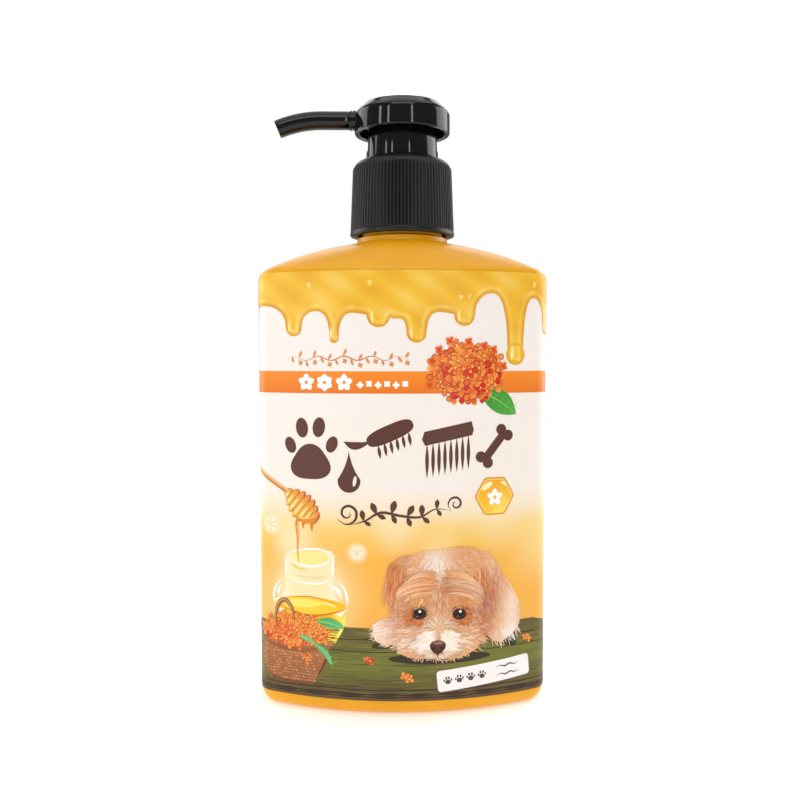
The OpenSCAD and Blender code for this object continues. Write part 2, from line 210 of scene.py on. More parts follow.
def make_relief_group():
    """Roughness and normal that vary over a moulded surface."""
    group, given, result = new_group(
        "surface_relief",
        [("Scale", "NodeSocketFloat", 900.0), ("Roughness", "NodeSocketFloat", 0.2),
         ("Variation", "NodeSocketFloat", 0.06), ("Depth", "NodeSocketFloat", 0.05)],
        [("Roughness", "NodeSocketFloat"), ("Normal", "NodeSocketVector")])
    nodes, links = group.nodes, group.links
    place = nodes.new("ShaderNodeTexCoord")
    noise = nodes.new("ShaderNodeTexNoise")
    noise.inputs["Detail"].default_value = 4
    links.new(place.outputs["Object"], noise.inputs["Vector"])
    links.new(given.outputs["Scale"], noise.inputs["Scale"])
    centred = nodes.new("ShaderNodeMath")
    centred.operation = "SUBTRACT"
    centred.inputs[1].default_value = 0.5
    links.new(noise.outputs["Fac"], centred.inputs[0])
    spread = nodes.new("ShaderNodeMath")
    spread.operation = "MULTIPLY_ADD"
    links.new(centred.outputs[0], spread.inputs[0])
    links.new(given.outputs["Variation"], spread.inputs[1])
    links.new(given.outputs["Roughness"], spread.inputs[2])
    bump = nodes.new("ShaderNodeBump")
    bump.inputs["Distance"].default_value = 0.0002
    links.new(given.outputs["Depth"], bump.inputs["Strength"])
    links.new(noise.outputs["Fac"], bump.inputs["Height"])
    links.new(spread.outputs[0], result.inputs["Roughness"])
    links.new(bump.outputs["Normal"], result.inputs["Normal"])
    return group


RELIEF = make_relief_group()


def new_material(name, **sockets):
    """A Principled material with constant sockets set by name."""
    material = bpy.data.materials.new(name)
    material.use_nodes = True
    shader = material.node_tree.nodes["Principled BSDF"]
    for label, value in sockets.items():
        shader.inputs[label.replace("_", " ")].default_value = value
    return material, material.node_tree, shader


def add_relief(tree, shader, scale, roughness, variation, depth):
    relief = tree.nodes.new("ShaderNodeGroup")
    relief.node_tree = RELIEF
    for label, value in (("Scale", scale), ("Roughness", roughness), ("Variation", variation),
                         ("Depth", depth)):
        relief.inputs[label].default_value = value
    tree.links.new(relief.outputs["Roughness"], shader.inputs["Roughness"])
    tree.links.new(relief.outputs["Normal"], shader.inputs["Normal"])
    return relief


def object_point(tree):
    return tree.nodes.new("ShaderNodeTexCoord").outputs["Object"]


def mottled(tree, shader, dark, light, scale):
    """A slow drift between two close colours, as in a moulded resin."""
    noise = tree.nodes.new("ShaderNodeTexNoise")
    noise.inputs["Scale"].default_value = scale
    noise.inputs["Detail"].default_value = 3
    tree.links.new(object_point(tree), noise.inputs["Vector"])
    ramp = tree.nodes.new("ShaderNodeValToRGB")
    ramp.color_ramp.elements[0].position = 0.35
    ramp.color_ramp.elements[0].color = (*dark, 1)
    ramp.color_ramp.elements[1].position = 0.65
    ramp.color_ramp.elements[1].color = (*light, 1)
    tree.links.new(noise.outputs["Fac"], ramp.inputs["Fac"])
    tree.links.new(ramp.outputs["Color"], shader.inputs["Base Color"])


# %% Finishes of the moulded, metal and foam pieces
def moulded(name, dark, light, roughness, variation=0.06, depth=0.04, scale=900.0, drift=60.0, **sockets):
    material, tree, shader = new_material(name, **sockets)
    mottled(tree, shader, dark, light, drift)
    add_relief(tree, shader, scale, roughness, variation, depth)
    return material


honey_plastic = moulded(
    "honey_plastic", (0.80, 0.36, 0.004), (0.84, 0.39, 0.006), 0.32, depth=0.008, scale=220,
    Subsurface_Weight=0.1, Subsurface_Radius=(0.004, 0.002, 0.0006), Specular_IOR_Level=0.32)
gloss_black = moulded(
    "gloss_black", (0.0030, 0.0030, 0.0034), (0.0045, 0.0045, 0.0052), 0.08, variation=0.03, depth=0.01,
    Specular_IOR_Level=0.36)
ribbed_black = moulded(
    "ribbed_black", (0.0065, 0.0063, 0.0066), (0.0095, 0.0092,
                                               0.0095), 0.38, variation=0.1, depth=0.1, scale=1800,
    Specular_IOR_Level=0.32)
natural_plastic = moulded("natural_plastic", (0.72, 0.74, 0.70), (0.80, 0.82, 0.78), 0.35,
                          Subsurface_Weight=0.3, Subsurface_Radius=(0.003, 0.003, 0.002))
foam_white = moulded("foam_white", (0.70, 0.70, 0.68), (0.84, 0.84, 0.82), 0.8, depth=0.6, scale=4000)
silver_cap = moulded("silver_cap", (0.80, 0.80, 0.82), (0.86, 0.86, 0.88), 0.07, variation=0.03, depth=0.01,
                     Metallic=1.0)
drawn_steel = moulded("drawn_steel", (0.42, 0.42, 0.43), (0.55, 0.55, 0.57), 0.25, Metallic=1.0)
print("finishes:", len(bpy.data.materials))

# %% [markdown]
# ## The bottle's shape
# Seen from above, the bottle is four arcs joined by four small corner arcs. The
# perimeter is worked out as a list of arcs, so that a distance along the wall gives
# a point on it: the same function places the wall, the film and the print.

# %% Plan section of the bottle, in mm
HALF_W, HALF_D = 39.0, 21.0
FACE_R, SIDE_R, CORNER_R = 79.0, 50.0, 5.8
face_centre = Vector((0, HALF_D - FACE_R))
side_centre = Vector((HALF_W - SIDE_R, 0))
span = side_centre - face_centre
face_reach, side_reach = FACE_R - CORNER_R, SIDE_R - CORNER_R
along = (face_reach ** 2 - side_reach ** 2 + span.length_squared) / (2 * span.length)
across = math.sqrt(face_reach ** 2 - along ** 2)
unit = span.normalized()
corner_centre = face_centre + along * unit + across * Vector((unit.y, -unit.x))
FACE_END = math.atan2(corner_centre.y - face_centre.y, corner_centre.x)
SIDE_END = math.atan2(corner_centre.y, corner_centre.x - side_centre.x)
FACE_LEN = FACE_R * (math.pi / 2 - FACE_END)
CORNER_LEN = CORNER_R * (FACE_END - SIDE_END)
SIDE_LEN = SIDE_R * SIDE_END
HALF_GIRTH = 2 * (FACE_LEN + CORNER_LEN + SIDE_LEN)
print("half girth of the wall: %.1f mm" % HALF_GIRTH)


def wall_point(run, inset=0.0):
    """(x, y) at a distance along the wall from the middle of the front, + to the right."""
    run = (run + HALF_GIRTH) % (2 * HALF_GIRTH) - HALF_GIRTH
    side = 1 if run >= 0 else -1
    run = abs(run)
    back = run > HALF_GIRTH / 2
    run = HALF_GIRTH - run if back else run
    if run <= FACE_LEN:
        angle, centre, radius = math.pi / 2 - run / FACE_R, face_centre, FACE_R
    elif run <= FACE_LEN + CORNER_LEN:
        angle, centre, radius = FACE_END - (run - FACE_LEN) / CORNER_R, corner_centre, CORNER_R
    else:
        angle, centre, radius = SIDE_END - (run - FACE_LEN - CORNER_LEN) / SIDE_R, side_centre, SIDE_R
    x = centre.x + (radius - inset) * math.cos(angle)
    y = centre.y + (radius - inset) * math.sin(angle)
    return side * x, y if back else -y


# %% Shoulder profile, seen from the front, in mm
CROWN_R, CROWN_Z, EDGE_R, NECK_ROOT_R = 86.0, 125.5, 4.0, 13.0
WALL, HEEL_R = 1.2, 4.4
SLEEVE_LOW, SLEEVE_HIGH = 4.4, 115.8
crown_centre = CROWN_Z - CROWN_R
edge_x = HALF_W - EDGE_R
edge_z = crown_centre + math.sqrt((CROWN_R - EDGE_R) ** 2 - edge_x ** 2)
edge_end = math.degrees(math.atan2(edge_z - crown_centre, edge_x))


def shoulder_point(run, radius, height, inset=0.0):
    """A wall point drawn in towards the neck's circle."""
    x, y = wall_point(run, inset)
    share = (radius - NECK_ROOT_R) / (HALF_W - NECK_ROOT_R)
    reach = math.hypot(x, y)
    cx, cy = x / reach * (NECK_ROOT_R - inset), y / reach * (NECK_ROOT_R - inset)
    return cx + share * (x - cx), cy + share * (y - cy), height


def profile_radius(height):
    """Half width of the bottle at a height on the wall or on the shoulder's edge."""
    if height <= edge_z:
        return HALF_W
    return edge_x + math.sqrt(max(EDGE_R ** 2 - (height - edge_z) ** 2, 0))


# %% Rings of the bottle, outside and inside
RING = 208
RUNS = [-HALF_GIRTH + 2 * HALF_GIRTH * i / RING for i in range(RING)]


def wall_ring(height, inset=0.0, scale=1.0):
    return [(wall_point(s, inset)[0] * scale, wall_point(s, inset)[1] * scale, height) for s in RUNS]


def round_ring(radius, height):
    ring = []
    for s in RUNS:
        x, y = wall_point(s)
        reach = math.hypot(x, y)
        ring.append((x / reach * radius, y / reach * radius, height))
    return ring


def shoulder_rings(inset=0.0):
    edge = [(edge_x + x, edge_z + z) for x, z in arc((0, 0), EDGE_R, 0, edge_end, 10)]
    crown_start = edge[-1][0]
    crown = []
    for i in range(1, 19):
        x = crown_start + (NECK_ROOT_R - crown_start) * i / 18
        crown.append((x, crown_centre + math.sqrt(CROWN_R ** 2 - x ** 2)))
    return [[shoulder_point(s, x, z - inset, inset) for s in RUNS] for x, z in edge + crown]


NECK_RING_R, NECK_R, NECK_BORE_R, NECK_TOP = 12.4, 10.95, 9.3, 142.4
neck_root_z = crown_centre + math.sqrt(CROWN_R ** 2 - NECK_ROOT_R ** 2)
outside = [wall_ring(1.1, 5.4, 0.0001), wall_ring(1.1, 5.4, 0.4), wall_ring(1.0, 5.4, 0.84),
           wall_ring(0.7, 5.4, 0.88),
           wall_ring(0.15, 5.4, 0.91), wall_ring(0, 5.4, 0.93)]
outside += [wall_ring(HEEL_R * (1 - math.sin(math.radians(a))), HEEL_R * (1 - math.cos(math.radians(a))))
            for a in (90, 80, 70, 60, 50, 40, 30, 20, 10, 0)]
outside += [wall_ring(edge_z * k / 6) for k in range(1, 6)]
outside += shoulder_rings()
outside += [round_ring(NECK_RING_R + 0.15, neck_root_z + 0.12), round_ring(NECK_RING_R, neck_root_z + 0.35),
            round_ring(NECK_RING_R, 125.9), round_ring(NECK_RING_R - 0.3, 126.2), round_ring(NECK_R + 0.2,
                                                                                             126.3),
            round_ring(NECK_R, 126.5), round_ring(NECK_R, NECK_TOP - 0.3), round_ring(NECK_R - 0.3,
                                                                                      NECK_TOP)]
inside = [round_ring(NECK_BORE_R + 0.2, NECK_TOP), round_ring(NECK_BORE_R, NECK_TOP - 0.2),
          round_ring(NECK_BORE_R, 123.6), round_ring(NECK_BORE_R + 1.2, 123.2)]
inside += list(reversed(shoulder_rings(WALL)))[1:]
inside += [wall_ring(HEEL_R + WALL, WALL), wall_ring(3.0, WALL + 1.2), wall_ring(2.4, 5.4),
           wall_ring(2.4, 5.4, 0.0001)]

# %% [markdown]
# The neck carries one and a half turns of thread. `spin` with a step upwards winds
# a small tapered section round the axis, the way a thread is cut.

# %% Build the bottle
def add_thread(bm, root_r, crest_r, low, turns, pitch):
    section = [(root_r, low - 0.7), (crest_r, low - 0.3), (crest_r, low + 0.3), (root_r, low + 0.7)]
    verts = [bm.verts.new((r * MM, 0, z * MM)) for r, z in section]
    face = bm.faces.new(verts)
    steps = int(turns * 60)
    bmesh.ops.spin(
        bm, geom=[face], cent=(0, 0, 0), axis=(0, 0, 1), dvec=(0, 0, pitch * turns * MM / steps),
        angle=2 * math.pi * turns, steps=steps, use_merge=False)


bm = bmesh.new()
loft(bm, outside + inside)
add_thread(bm, NECK_R - 0.2, 11.9, 131.2, 1.5, 3.175)
bottle = finish_piece(bm, "moulded_bottle", "bottle_body", ["bottle"],
                      material=honey_plastic)
print("bottle faces:", len(bottle.data.polygons))

# %% [markdown]
# ## The closure
# A screw closure is moulded with fine upright ribs for grip. The skirt is one loft
# whose radius swells with the angle, and the ribs fade out into the rounded top.

# %% Ribbed closure
RIBS, RIB_H = 90, 0.35
RIB_STEPS = RIBS * 8


def ribbed_ring(radius, height, rib):
    ring = []
    for i in range(RIB_STEPS):
        angle = 2 * math.pi * i / RIB_STEPS
        swell = 0.5 + 0.5 * math.cos(angle * RIBS)
        r = radius + rib * RIB_H * (swell ** 0.6 - 1)
        ring.append((r * math.cos(angle), r * math.sin(angle), height))
    return ring


skirt = [(12.35, 126.8, 0), (13.95, 126.8, 0), (14.22, 126.88, 0), (14.34, 127.1, 0), (14.34, 127.75, 0),
         (14.24, 127.98, 0), (14.06, 128.05, 0.1), (14.24, 128.25, 0.9), (14.26, 128.5, 1)]
skirt += [(14.26 - 0.66 * k / 8, 128.5 + 16.3 * k / 8, 1) for k in range(1, 9)]
skirt += [(13.5, 145.1, 0.75), (13.32, 145.45, 0.35), (13.1, 145.75, 0)]
skirt += [(13.25 - 3.2 * (1 - math.cos(math.radians(a))), 145 + 2.4 * math.sin(math.radians(a)), 0)
          for a in (28, 38, 48, 58, 68, 79)]
skirt += [(10.05, 147.38, 0), (9.99, 147.3, 0), (9.99, 145.82, 0), (12.1, 145.82, 0), (12.1, 127.05, 0)]
bm = bmesh.new()
loft(bm, [ribbed_ring(*row) for row in skirt], loop=True)
add_thread(bm, 12.3, 11.96, 129.95, 1.25, 3.175)
closure = finish_piece(bm, "ribbed_closure", "closure_body", ["closure"], 35, ribbed_black)
print("closure faces:", len(closure.data.polygons))

# %% [markdown]
# ## The guide collar, the head and the nozzle
# The collar is a short sleeve with two slots, which let the head's duct come down
# when the nozzle faces straight left or right. The head is a lathe with a hollow
# underside. Slots and ducts are cut and joined by exact booleans, applied at once,
# so the finished mesh is one clean shell.

# %% Booleans between two bmesh shapes
def as_object(bm):
    bmesh.ops.recalc_face_normals(bm, faces=bm.faces)
    mesh = bpy.data.meshes.new("working_shape")
    bm.to_mesh(mesh)
    bm.free()
    shape = bpy.data.objects.new("working_shape", mesh)
    bpy.context.collection.objects.link(shape)
    return shape


def combine(bm, tools, operation):
    """Joins or cuts bmesh shapes with an exact boolean and gives the bmesh back."""
    base = as_object(bm)
    others = [as_object(tool) for tool in tools]
    for other in others:
        modifier = base.modifiers.new("combine", "BOOLEAN")
        modifier.operation, modifier.solver, modifier.object = operation, "EXACT", other
    shaped = base.evaluated_get(bpy.context.evaluated_depsgraph_get())
    result = bmesh.new()
    result.from_mesh(shaped.data)
    for shape in [base] + others:
        bpy.data.objects.remove(shape)
    return result


def tube_along(centres, radius, steps=40, bore=None):
    """A round bar, or a closed tube where bore is given, along points in the X-Z plane in mm."""
    def ring(k, r):
        before, after = centres[max(k - 1, 0)], centres[min(k + 1, len(centres) - 1)]
        lean = math.atan2(after[1] - before[1], after[0] - before[0])
        x, z = centres[k]
        return [
            (x - r * math.cos(t) * math.sin(lean), r * math.sin(t), z + r * math.cos(t) * math.cos(lean))
            for t in (2 * math.pi * i / steps for i in range(steps))]
    bm = bmesh.new()
    radii = radius if isinstance(radius, list) else [radius] * len(centres)
    rings = [ring(k, radii[k]) for k in range(len(centres))]
    if bore:
        rings += [ring(k, bore) for k in reversed(range(len(centres)))]
        loft(bm, rings, loop=True)
    else:
        loft(bm, rings, close_start=True, close_end=True)
    return bm


# %% Guide collar
DUCT_R, NOZZLE_Z, STROKE = 2.3, 158.5, 6.0
slot_z = NOZZLE_Z - DUCT_R - STROKE - 0.4
bm = lathe([
    (3.55, 137.85), (6.6, 137.85), (6.6, 144.6), (11.2, 144.6), (11.2, 145.75), (9.9, 145.75), (9.9,
                                                                                                147.45),
    (10.12, 147.55), (10.15, 147.65), (10.05, 147.8), (9.9, 147.9), (9.65, 154.9), (9.58, 155.15), (9.4,
                                                                                                    155.3),
    (8.5, 155.3), (8.3, 155.15), (8.3, 146.8), (7.9, 146.4), (3.8, 146.4), (3.55, 146.2)], closed=True)
slots = bmesh.new()
bmesh.ops.create_cube(slots, size=1)
bmesh.ops.scale(slots, vec=(40 * MM, 5.4 * MM, 20 * MM), verts=slots.verts)
bmesh.ops.translate(slots, vec=(0, 0, (slot_z + 10) * MM), verts=slots.verts)
bm = combine(bm, [slots], "DIFFERENCE")
finish_piece(bm, "guide_sleeve", "pump_body", ["guide_collar"], 35, gloss_black)

# %% Actuator head
roof_z, seat_z = 161.6, 162.3
rim = [(11.6, 155.0), (11.66, 154.78), (11.82, 154.64), (12.0, 154.6), (12.65, 154.6), (12.88, 154.66),
       (13.0, 154.84),
       (13.05, 155.1)]
top_edge = [(13.05, 159.2), (13.02, 159.75), (12.9, 160.2), (12.62, 160.65), (12.2, 161.1), (11.7, 161.6),
            (11.2, 162.1), (10.95, 162.38), (10.78, 162.49), (10.62, 162.5), (10.53, 162.44), (10.52,
                                                                                               162.3)]
bm = lathe([
    (0, seat_z), *reversed(top_edge), *reversed(rim), (11.6, 158.7), (11.4, 159.9), (10.7, 161.0), (9.7,
                                                                                                    161.55),
    (9.2, roof_z), (5.3, roof_z), (4.95, roof_z - 0.3), (4.9, 153.0), (4.7, 152.8), (3.7, 152.8), (3.5,
                                                                                                   153.0),
    (3.5, 157.2), (2.35, 157.2), (2.35, 160.3), (0, 160.3)], steps=128)
duct = tube_along([(-3.0, NOZZLE_Z), (-12.6, NOZZLE_Z)], DUCT_R)
root = tube_along(
    [(-11.9, NOZZLE_Z), (-13.5, NOZZLE_Z), (-13.52, NOZZLE_Z), (-13.75, NOZZLE_Z), (-13.77, NOZZLE_Z),
     (-14.2, NOZZLE_Z),
     (-14.3, NOZZLE_Z)],
    [2.72, 2.72, 2.45, 2.45, 2.72, 2.72, 2.62])
bm = combine(bm, [duct, root], "UNION")
bores = tube_along([(0.5, NOZZLE_Z), (-11.0, NOZZLE_Z), (-11.001, NOZZLE_Z), (-15.0, NOZZLE_Z)],
                   [1.5, 1.5, 1.95, 1.95])
bm = combine(bm, [bores], "DIFFERENCE")
head = finish_piece(bm, "pump_head", "head_body", ["actuator_head"], 35, gloss_black)

# %% Bright domed cap
cap_r, cap_rise = 10.48, 2.7
dome_r = (10.5 ** 2 + cap_rise ** 2) / (2 * cap_rise)
dome_end = math.degrees(math.asin(10.3 / dome_r))
dome = arc((0, seat_z + cap_rise - dome_r), dome_r, 90, 90 - dome_end, 20)
bm = lathe([(0, seat_z), (cap_r - 0.1, seat_z), (cap_r, seat_z + 0.05), (cap_r, seat_z + 0.09)]
           + list(reversed(dome[1:])) + [(0, seat_z + cap_rise)], steps=128)
dome_cap = finish_piece(bm, "silver_dome", "head_body", ["head_cap"], 50, silver_cap)

# %% Nozzle: spigot, straight run and bend, with its bore
BEND_R, BEND_DEG, BEND_X = 31.2, 23.0, 22.0
path = [(-11.0, NOZZLE_Z), (-14.29, NOZZLE_Z), (-14.3, NOZZLE_Z), (-14.45, NOZZLE_Z), (-18.0, NOZZLE_Z)]
for i in range(17):
    turn = math.radians(BEND_DEG * i / 16)
    path.append((-BEND_X - BEND_R * math.sin(turn), NOZZLE_Z - BEND_R * (1 - math.cos(turn))))
radii = [1.93, 1.93, 2.4, 2.5] + [2.5] * (len(path) - 6) + [2.5, 2.42]
bm = combine(tube_along(path, radii, steps=56), [tube_along(
    [(-9.0, NOZZLE_Z)] + path[4:] + [(path[-1][0] - 2.8, path[-1][1] - 1.2)], 1.5, steps=32)], "DIFFERENCE")
nozzle = finish_piece(bm, "spout", "head_body", ["nozzle"], 35, gloss_black)
print("head, cap, nozzle faces:", [len(p.data.polygons) for p in (head, dome_cap, nozzle)])

# %% [markdown]
# ## The pump's inner pieces
# These keep their design shapes, and only need their finishes: natural moulded
# plastic, foamed gasket, drawn spring wire and polished balls.

# %% Finishes on the design's own pieces
inner_finish = {
    "pump_housing": natural_plastic, "dip_tube": natural_plastic, "ball_cage": natural_plastic,
    "piston": natural_plastic, "piston_retainer": natural_plastic, "stem": natural_plastic,
    "neck_gasket": foam_white, "inlet_ball": silver_cap, "outlet_ball": silver_cap}
for node, finish in inner_finish.items():
    slots_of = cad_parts[node].material_slots
    for index in range(len(slots_of)):
        slots_of[index].material = finish
print("finished in place:", sorted(inner_finish))

# %% [markdown]
# The return spring shortens as the head goes down. It is wound by `spin` with an upward step.

# %% Return spring
def wind(bm, verts, edges, turns, climb, steps=32):
    """Winds a closed outline up the axis and gives the last outline back."""
    count = max(int(turns * steps), 1)
    wound = bmesh.ops.spin(
        bm, geom=verts + edges, cent=(0, 0, 0), axis=(0, 0, 1), dvec=(0, 0, climb * MM / count),
        angle=2 * math.pi * turns, steps=count, use_merge=False)["geom_last"]
    return ([g for g in wound if isinstance(g, bmesh.types.BMVert)],
            [g for g in wound if isinstance(g, bmesh.types.BMEdge)])


SPRING_R, WIRE_R, COILS, SPRING_LOW, SPRING_HIGH = 4.75, 0.4, 8, 105.22, 129.58
bm = bmesh.new()
made = bmesh.ops.create_circle(bm, segments=10, radius=WIRE_R * MM,
                               matrix=Matrix.Rotation(math.pi / 2, 4, "X"))
bmesh.ops.translate(bm, vec=(SPRING_R * MM, 0, (SPRING_LOW + WIRE_R) * MM), verts=made["verts"])
outline = (made["verts"], list({e for v in made["verts"] for e in v.link_edges}))
bmesh.ops.contextual_create(bm, geom=made["verts"])
end_climb = 2 * WIRE_R
middle_climb = SPRING_HIGH - SPRING_LOW - 2 * WIRE_R - 2 * end_climb
for turns, climb in ((1, end_climb), (COILS - 2, middle_climb), (1, end_climb)):
    outline = wind(bm, *outline, turns, climb)
bmesh.ops.contextual_create(bm, geom=outline[0])
spring = finish_piece(bm, "wound_spring", "pump_body", ["return_spring"], 60, drawn_steel)
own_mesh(spring)

# %% [markdown]
# ## The printed sleeve
# The film is a thin loft that hugs the wall and turns in over the shoulder's edge.
# Its ground colour is cream at the top and melts into amber round the scene below.

# %% Film loft
FILM_GAP, FILM = 0.03, 0.15


def sleeve_point(run, height, lift=0.0):
    """A point on the film's outer face, or lift mm outside it."""
    inset = -(FILM_GAP + FILM + lift)
    x, y, z = shoulder_point(run, profile_radius(height), height, inset)
    if height > edge_z:
        z += lift * (height - edge_z) / EDGE_R
    return x, y, z


def sleeve_ring(height, lift):
    return [sleeve_point(s, height, lift) for s in RUNS]


climb = [edge_z + (SLEEVE_HIGH - edge_z) * k / 4 for k in range(5)]
heights = [SLEEVE_LOW] + [SLEEVE_LOW + (edge_z - SLEEVE_LOW) * k / 30 for k in range(1, 30)] + climb
bm = bmesh.new()
loft(bm, [sleeve_ring(z, 0) for z in heights] + [sleeve_ring(z, -FILM) for z in reversed(heights)],
     loop=True)
film = finish_piece(bm, "printed_film", "bottle_body", ["label_sleeve"], 40)
print("film faces:", len(film.data.polygons))

# %% Ink colours
def ink(red, green, blue):
    """A linear colour from the usual 0 to 255 values."""
    def linear(value):
        value /= 255
        return value / 12.92 if value <= 0.04045 else ((value + 0.055) / 1.055) ** 2.4
    return Vector((linear(red), linear(green), linear(blue)))


CREAM, WHITE = ink(240, 231, 222), ink(250, 248, 244)
HONEY, HONEY_DEEP, HONEY_PALE = ink(236, 183, 50), ink(219, 150, 40), ink(250, 222, 130)
COCOA, BAND_ORANGE, RUST = ink(92, 56, 47), ink(236, 128, 37), ink(205, 130, 62)
dice = random.Random(11)
print("main inks are set")

# %% [markdown]
# The film's ground is one ramp of colour up the bottle. Pale glows lie behind the
# honey jar, the sparkles and the right edge: each is the node group `soft_spot`,
# a mask that fades with distance from a point.

# %% Film ground
def make_soft_spot_group():
    """A mask of 1 at a point that fades to 0 at a radius."""
    group, given, result = new_group(
        "soft_spot",
        [("Centre", "NodeSocketVector", None), ("Radius", "NodeSocketFloat", 0.01),
         ("Strength", "NodeSocketFloat", 1.0)],
        [("Mask", "NodeSocketFloat")])
    nodes, links = group.nodes, group.links
    place = nodes.new("ShaderNodeTexCoord")
    gap = nodes.new("ShaderNodeVectorMath")
    gap.operation = "DISTANCE"
    links.new(place.outputs["Object"], gap.inputs[0])
    links.new(given.outputs["Centre"], gap.inputs[1])
    fade = nodes.new("ShaderNodeMapRange")
    fade.interpolation_type = "SMOOTHSTEP"
    links.new(gap.outputs["Value"], fade.inputs["Value"])
    links.new(given.outputs["Radius"], fade.inputs["From Max"])
    links.new(given.outputs["Strength"], fade.inputs["To Min"])
    fade.inputs["To Max"].default_value = 0.0
    links.new(fade.outputs["Result"], result.inputs["Mask"])
    return group


SOFT_SPOT = make_soft_spot_group()
GROUND_STOPS = [
    (4, ink(236, 170, 72)), (34, ink(241, 176, 72)), (42, ink(240, 178, 74)), (46, ink(239, 190, 88)),
    (50, ink(240, 204, 124)), (54, ink(240, 222, 188)), (60, ink(241, 230, 220)), (116, ink(240, 232, 226))]
GLOWS = [  # run, height, radius, strength, colour
    (-25, 31, 19, 0.95, ink(250, 226, 170)), (-25, 33, 12, 0.8, ink(254, 246, 220)),
    (38, 44, 14, 0.5, ink(246, 222, 160)), (25, 50, 10, 0.3, ink(244, 226, 190)),
    (-12.1, 43.2, 3.4, 1.0, ink(255, 250, 236)), (-36.3, 49.5, 3.6, 0.9, ink(255, 250, 236)),
    (-2, 49, 9, 0.25, ink(255, 250, 240)), (9, 44, 8, 0.3, ink(252, 236, 200)), (-30, 46, 9, 0.6,
                                                                                 ink(253, 240, 206))]


def mixed(tree, fac, first, second):
    """Mixes a colour socket towards a constant colour by a mask socket."""
    mix = tree.nodes.new("ShaderNodeMix")
    mix.data_type = "RGBA"
    tree.links.new(fac, mix.inputs["Factor"])
    tree.links.new(first, mix.inputs[6])
    mix.inputs[7].default_value = (*second, 1)
    return mix.outputs[2]


film_ink, tree, shader = new_material("film_ground", Specular_IOR_Level=0.25)
apart = tree.nodes.new("ShaderNodeSeparateXYZ")
tree.links.new(object_point(tree), apart.inputs[0])
rise = tree.nodes.new("ShaderNodeMapRange")
rise.inputs["From Max"].default_value = SLEEVE_HIGH * MM
tree.links.new(apart.outputs["Z"], rise.inputs["Value"])
ramp = tree.nodes.new("ShaderNodeValToRGB")
tree.links.new(rise.outputs["Result"], ramp.inputs["Fac"])
stops = ramp.color_ramp.elements
while len(stops) < len(GROUND_STOPS):
    stops.new(0.5)
for stop, (height, colour) in zip(stops, GROUND_STOPS):
    stop.position = height / SLEEVE_HIGH
for stop, (height, colour) in zip(stops, GROUND_STOPS):
    stop.color = (*colour, 1)
ground = ramp.outputs["Color"]
for run, height, radius, strength, colour in GLOWS:
    spot = tree.nodes.new("ShaderNodeGroup")
    spot.node_tree = SOFT_SPOT
    spot.inputs["Centre"].default_value = Vector(sleeve_point(run, height)) * MM
    spot.inputs["Radius"].default_value = radius * MM
    spot.inputs["Strength"].default_value = strength
    ground = mixed(tree, spot.outputs["Mask"], ground, colour)
tree.links.new(ground, shader.inputs["Base Color"])
add_relief(tree, shader, 350, 0.36, 0.06, 0.015)
film.data.materials.append(film_ink)

printed_ink, tree, shader = new_material("printed_ink", Specular_IOR_Level=0.25)
laid = tree.nodes.new("ShaderNodeAttribute")
laid.attribute_name = "ink"
tree.links.new(laid.outputs["Color"], shader.inputs["Base Color"])
add_relief(tree, shader, 350, 0.36, 0.06, 0.015)
print("film ground has", len(GLOWS), "glows")

# %% [markdown]
# ## The artwork
# A sleeve like this is gravure-printed in layers. Each layer is made here as thin
# ink shapes, drawn flat as (run, height) and then wrapped on the film, a few
# hundredths of a millimetre apart, so that the drawing follows the bottle round its
# corners. `ribbons` cuts one grid into many tapered strokes, which serve as petals,
# fur, grain and rings. `patch` fills an outline. Each point carries its own ink.

# %% Drawing helpers: run to the right, height up, lift outwards, all in mm
def new_print():
    bm = bmesh.new()
    bm.verts.layers.float_color.new("ink")
    return bm


def lay_ink(bm, vert, colour):
    vert[bm.verts.layers.float_color["ink"]] = (*colour, 1)


def patch(bm, outline, colour, lift, cuts=2.0):
    """Fills an outline. colour is an ink, or a function of (run, height)."""
    verts = [bm.verts.new((x, z, lift)) for x, z in outline]
    face = bmesh.ops.contextual_create(bm, geom=verts)["faces"][0]
    face.normal_update()
    if face.normal.z < 0:
        face.normal_flip()
    geom = verts + list(face.edges) + [face]
    low, high = min(x for x, z in outline), max(x for x, z in outline)
    cut = low + cuts
    while cut < high - 0.2:
        geom = bmesh.ops.bisect_plane(bm, geom=geom, plane_co=(cut, 0, 0), plane_no=(1, 0, 0))["geom"]
        cut += cuts
    faces = [g for g in geom if isinstance(g, bmesh.types.BMFace)]
    bmesh.ops.triangulate(bm, faces=faces)
    for vert in (g for g in geom if isinstance(g, bmesh.types.BMVert)):
        lay_ink(bm, vert, colour(vert.co.x, vert.co.y) if callable(colour) else colour)


def ribbons(bm, strokes):
    """Draws many strokes of (points, half widths, inks, lift), all of one length."""
    rows, columns = len(strokes[0][0]) - 1, 2 * len(strokes) - 1
    grid = bmesh.ops.create_grid(bm, x_segments=columns, y_segments=rows, size=1)["verts"]
    places = {v: (round((v.co.x + 1) / 2 * columns), round((v.co.y + 1) / 2 * rows)) for v in grid}
    between = {f for v in grid for f in v.link_faces if min(places[w][0] for w in f.verts) % 2}
    bmesh.ops.delete(bm, geom=list(between), context="FACES")
    for vert, (column, row) in places.items():
        points, widths, inks, lift = strokes[column // 2]
        ahead, behind = Vector(points[min(row + 1, rows)]), Vector(points[max(row - 1, 0)])
        along = (ahead - behind).normalized()
        side = widths[row] * (1 if column % 2 else -1)
        vert.co = (points[row][0] + along.y * side, points[row][1] - along.x * side, lift)
        lay_ink(bm, vert, inks[row])


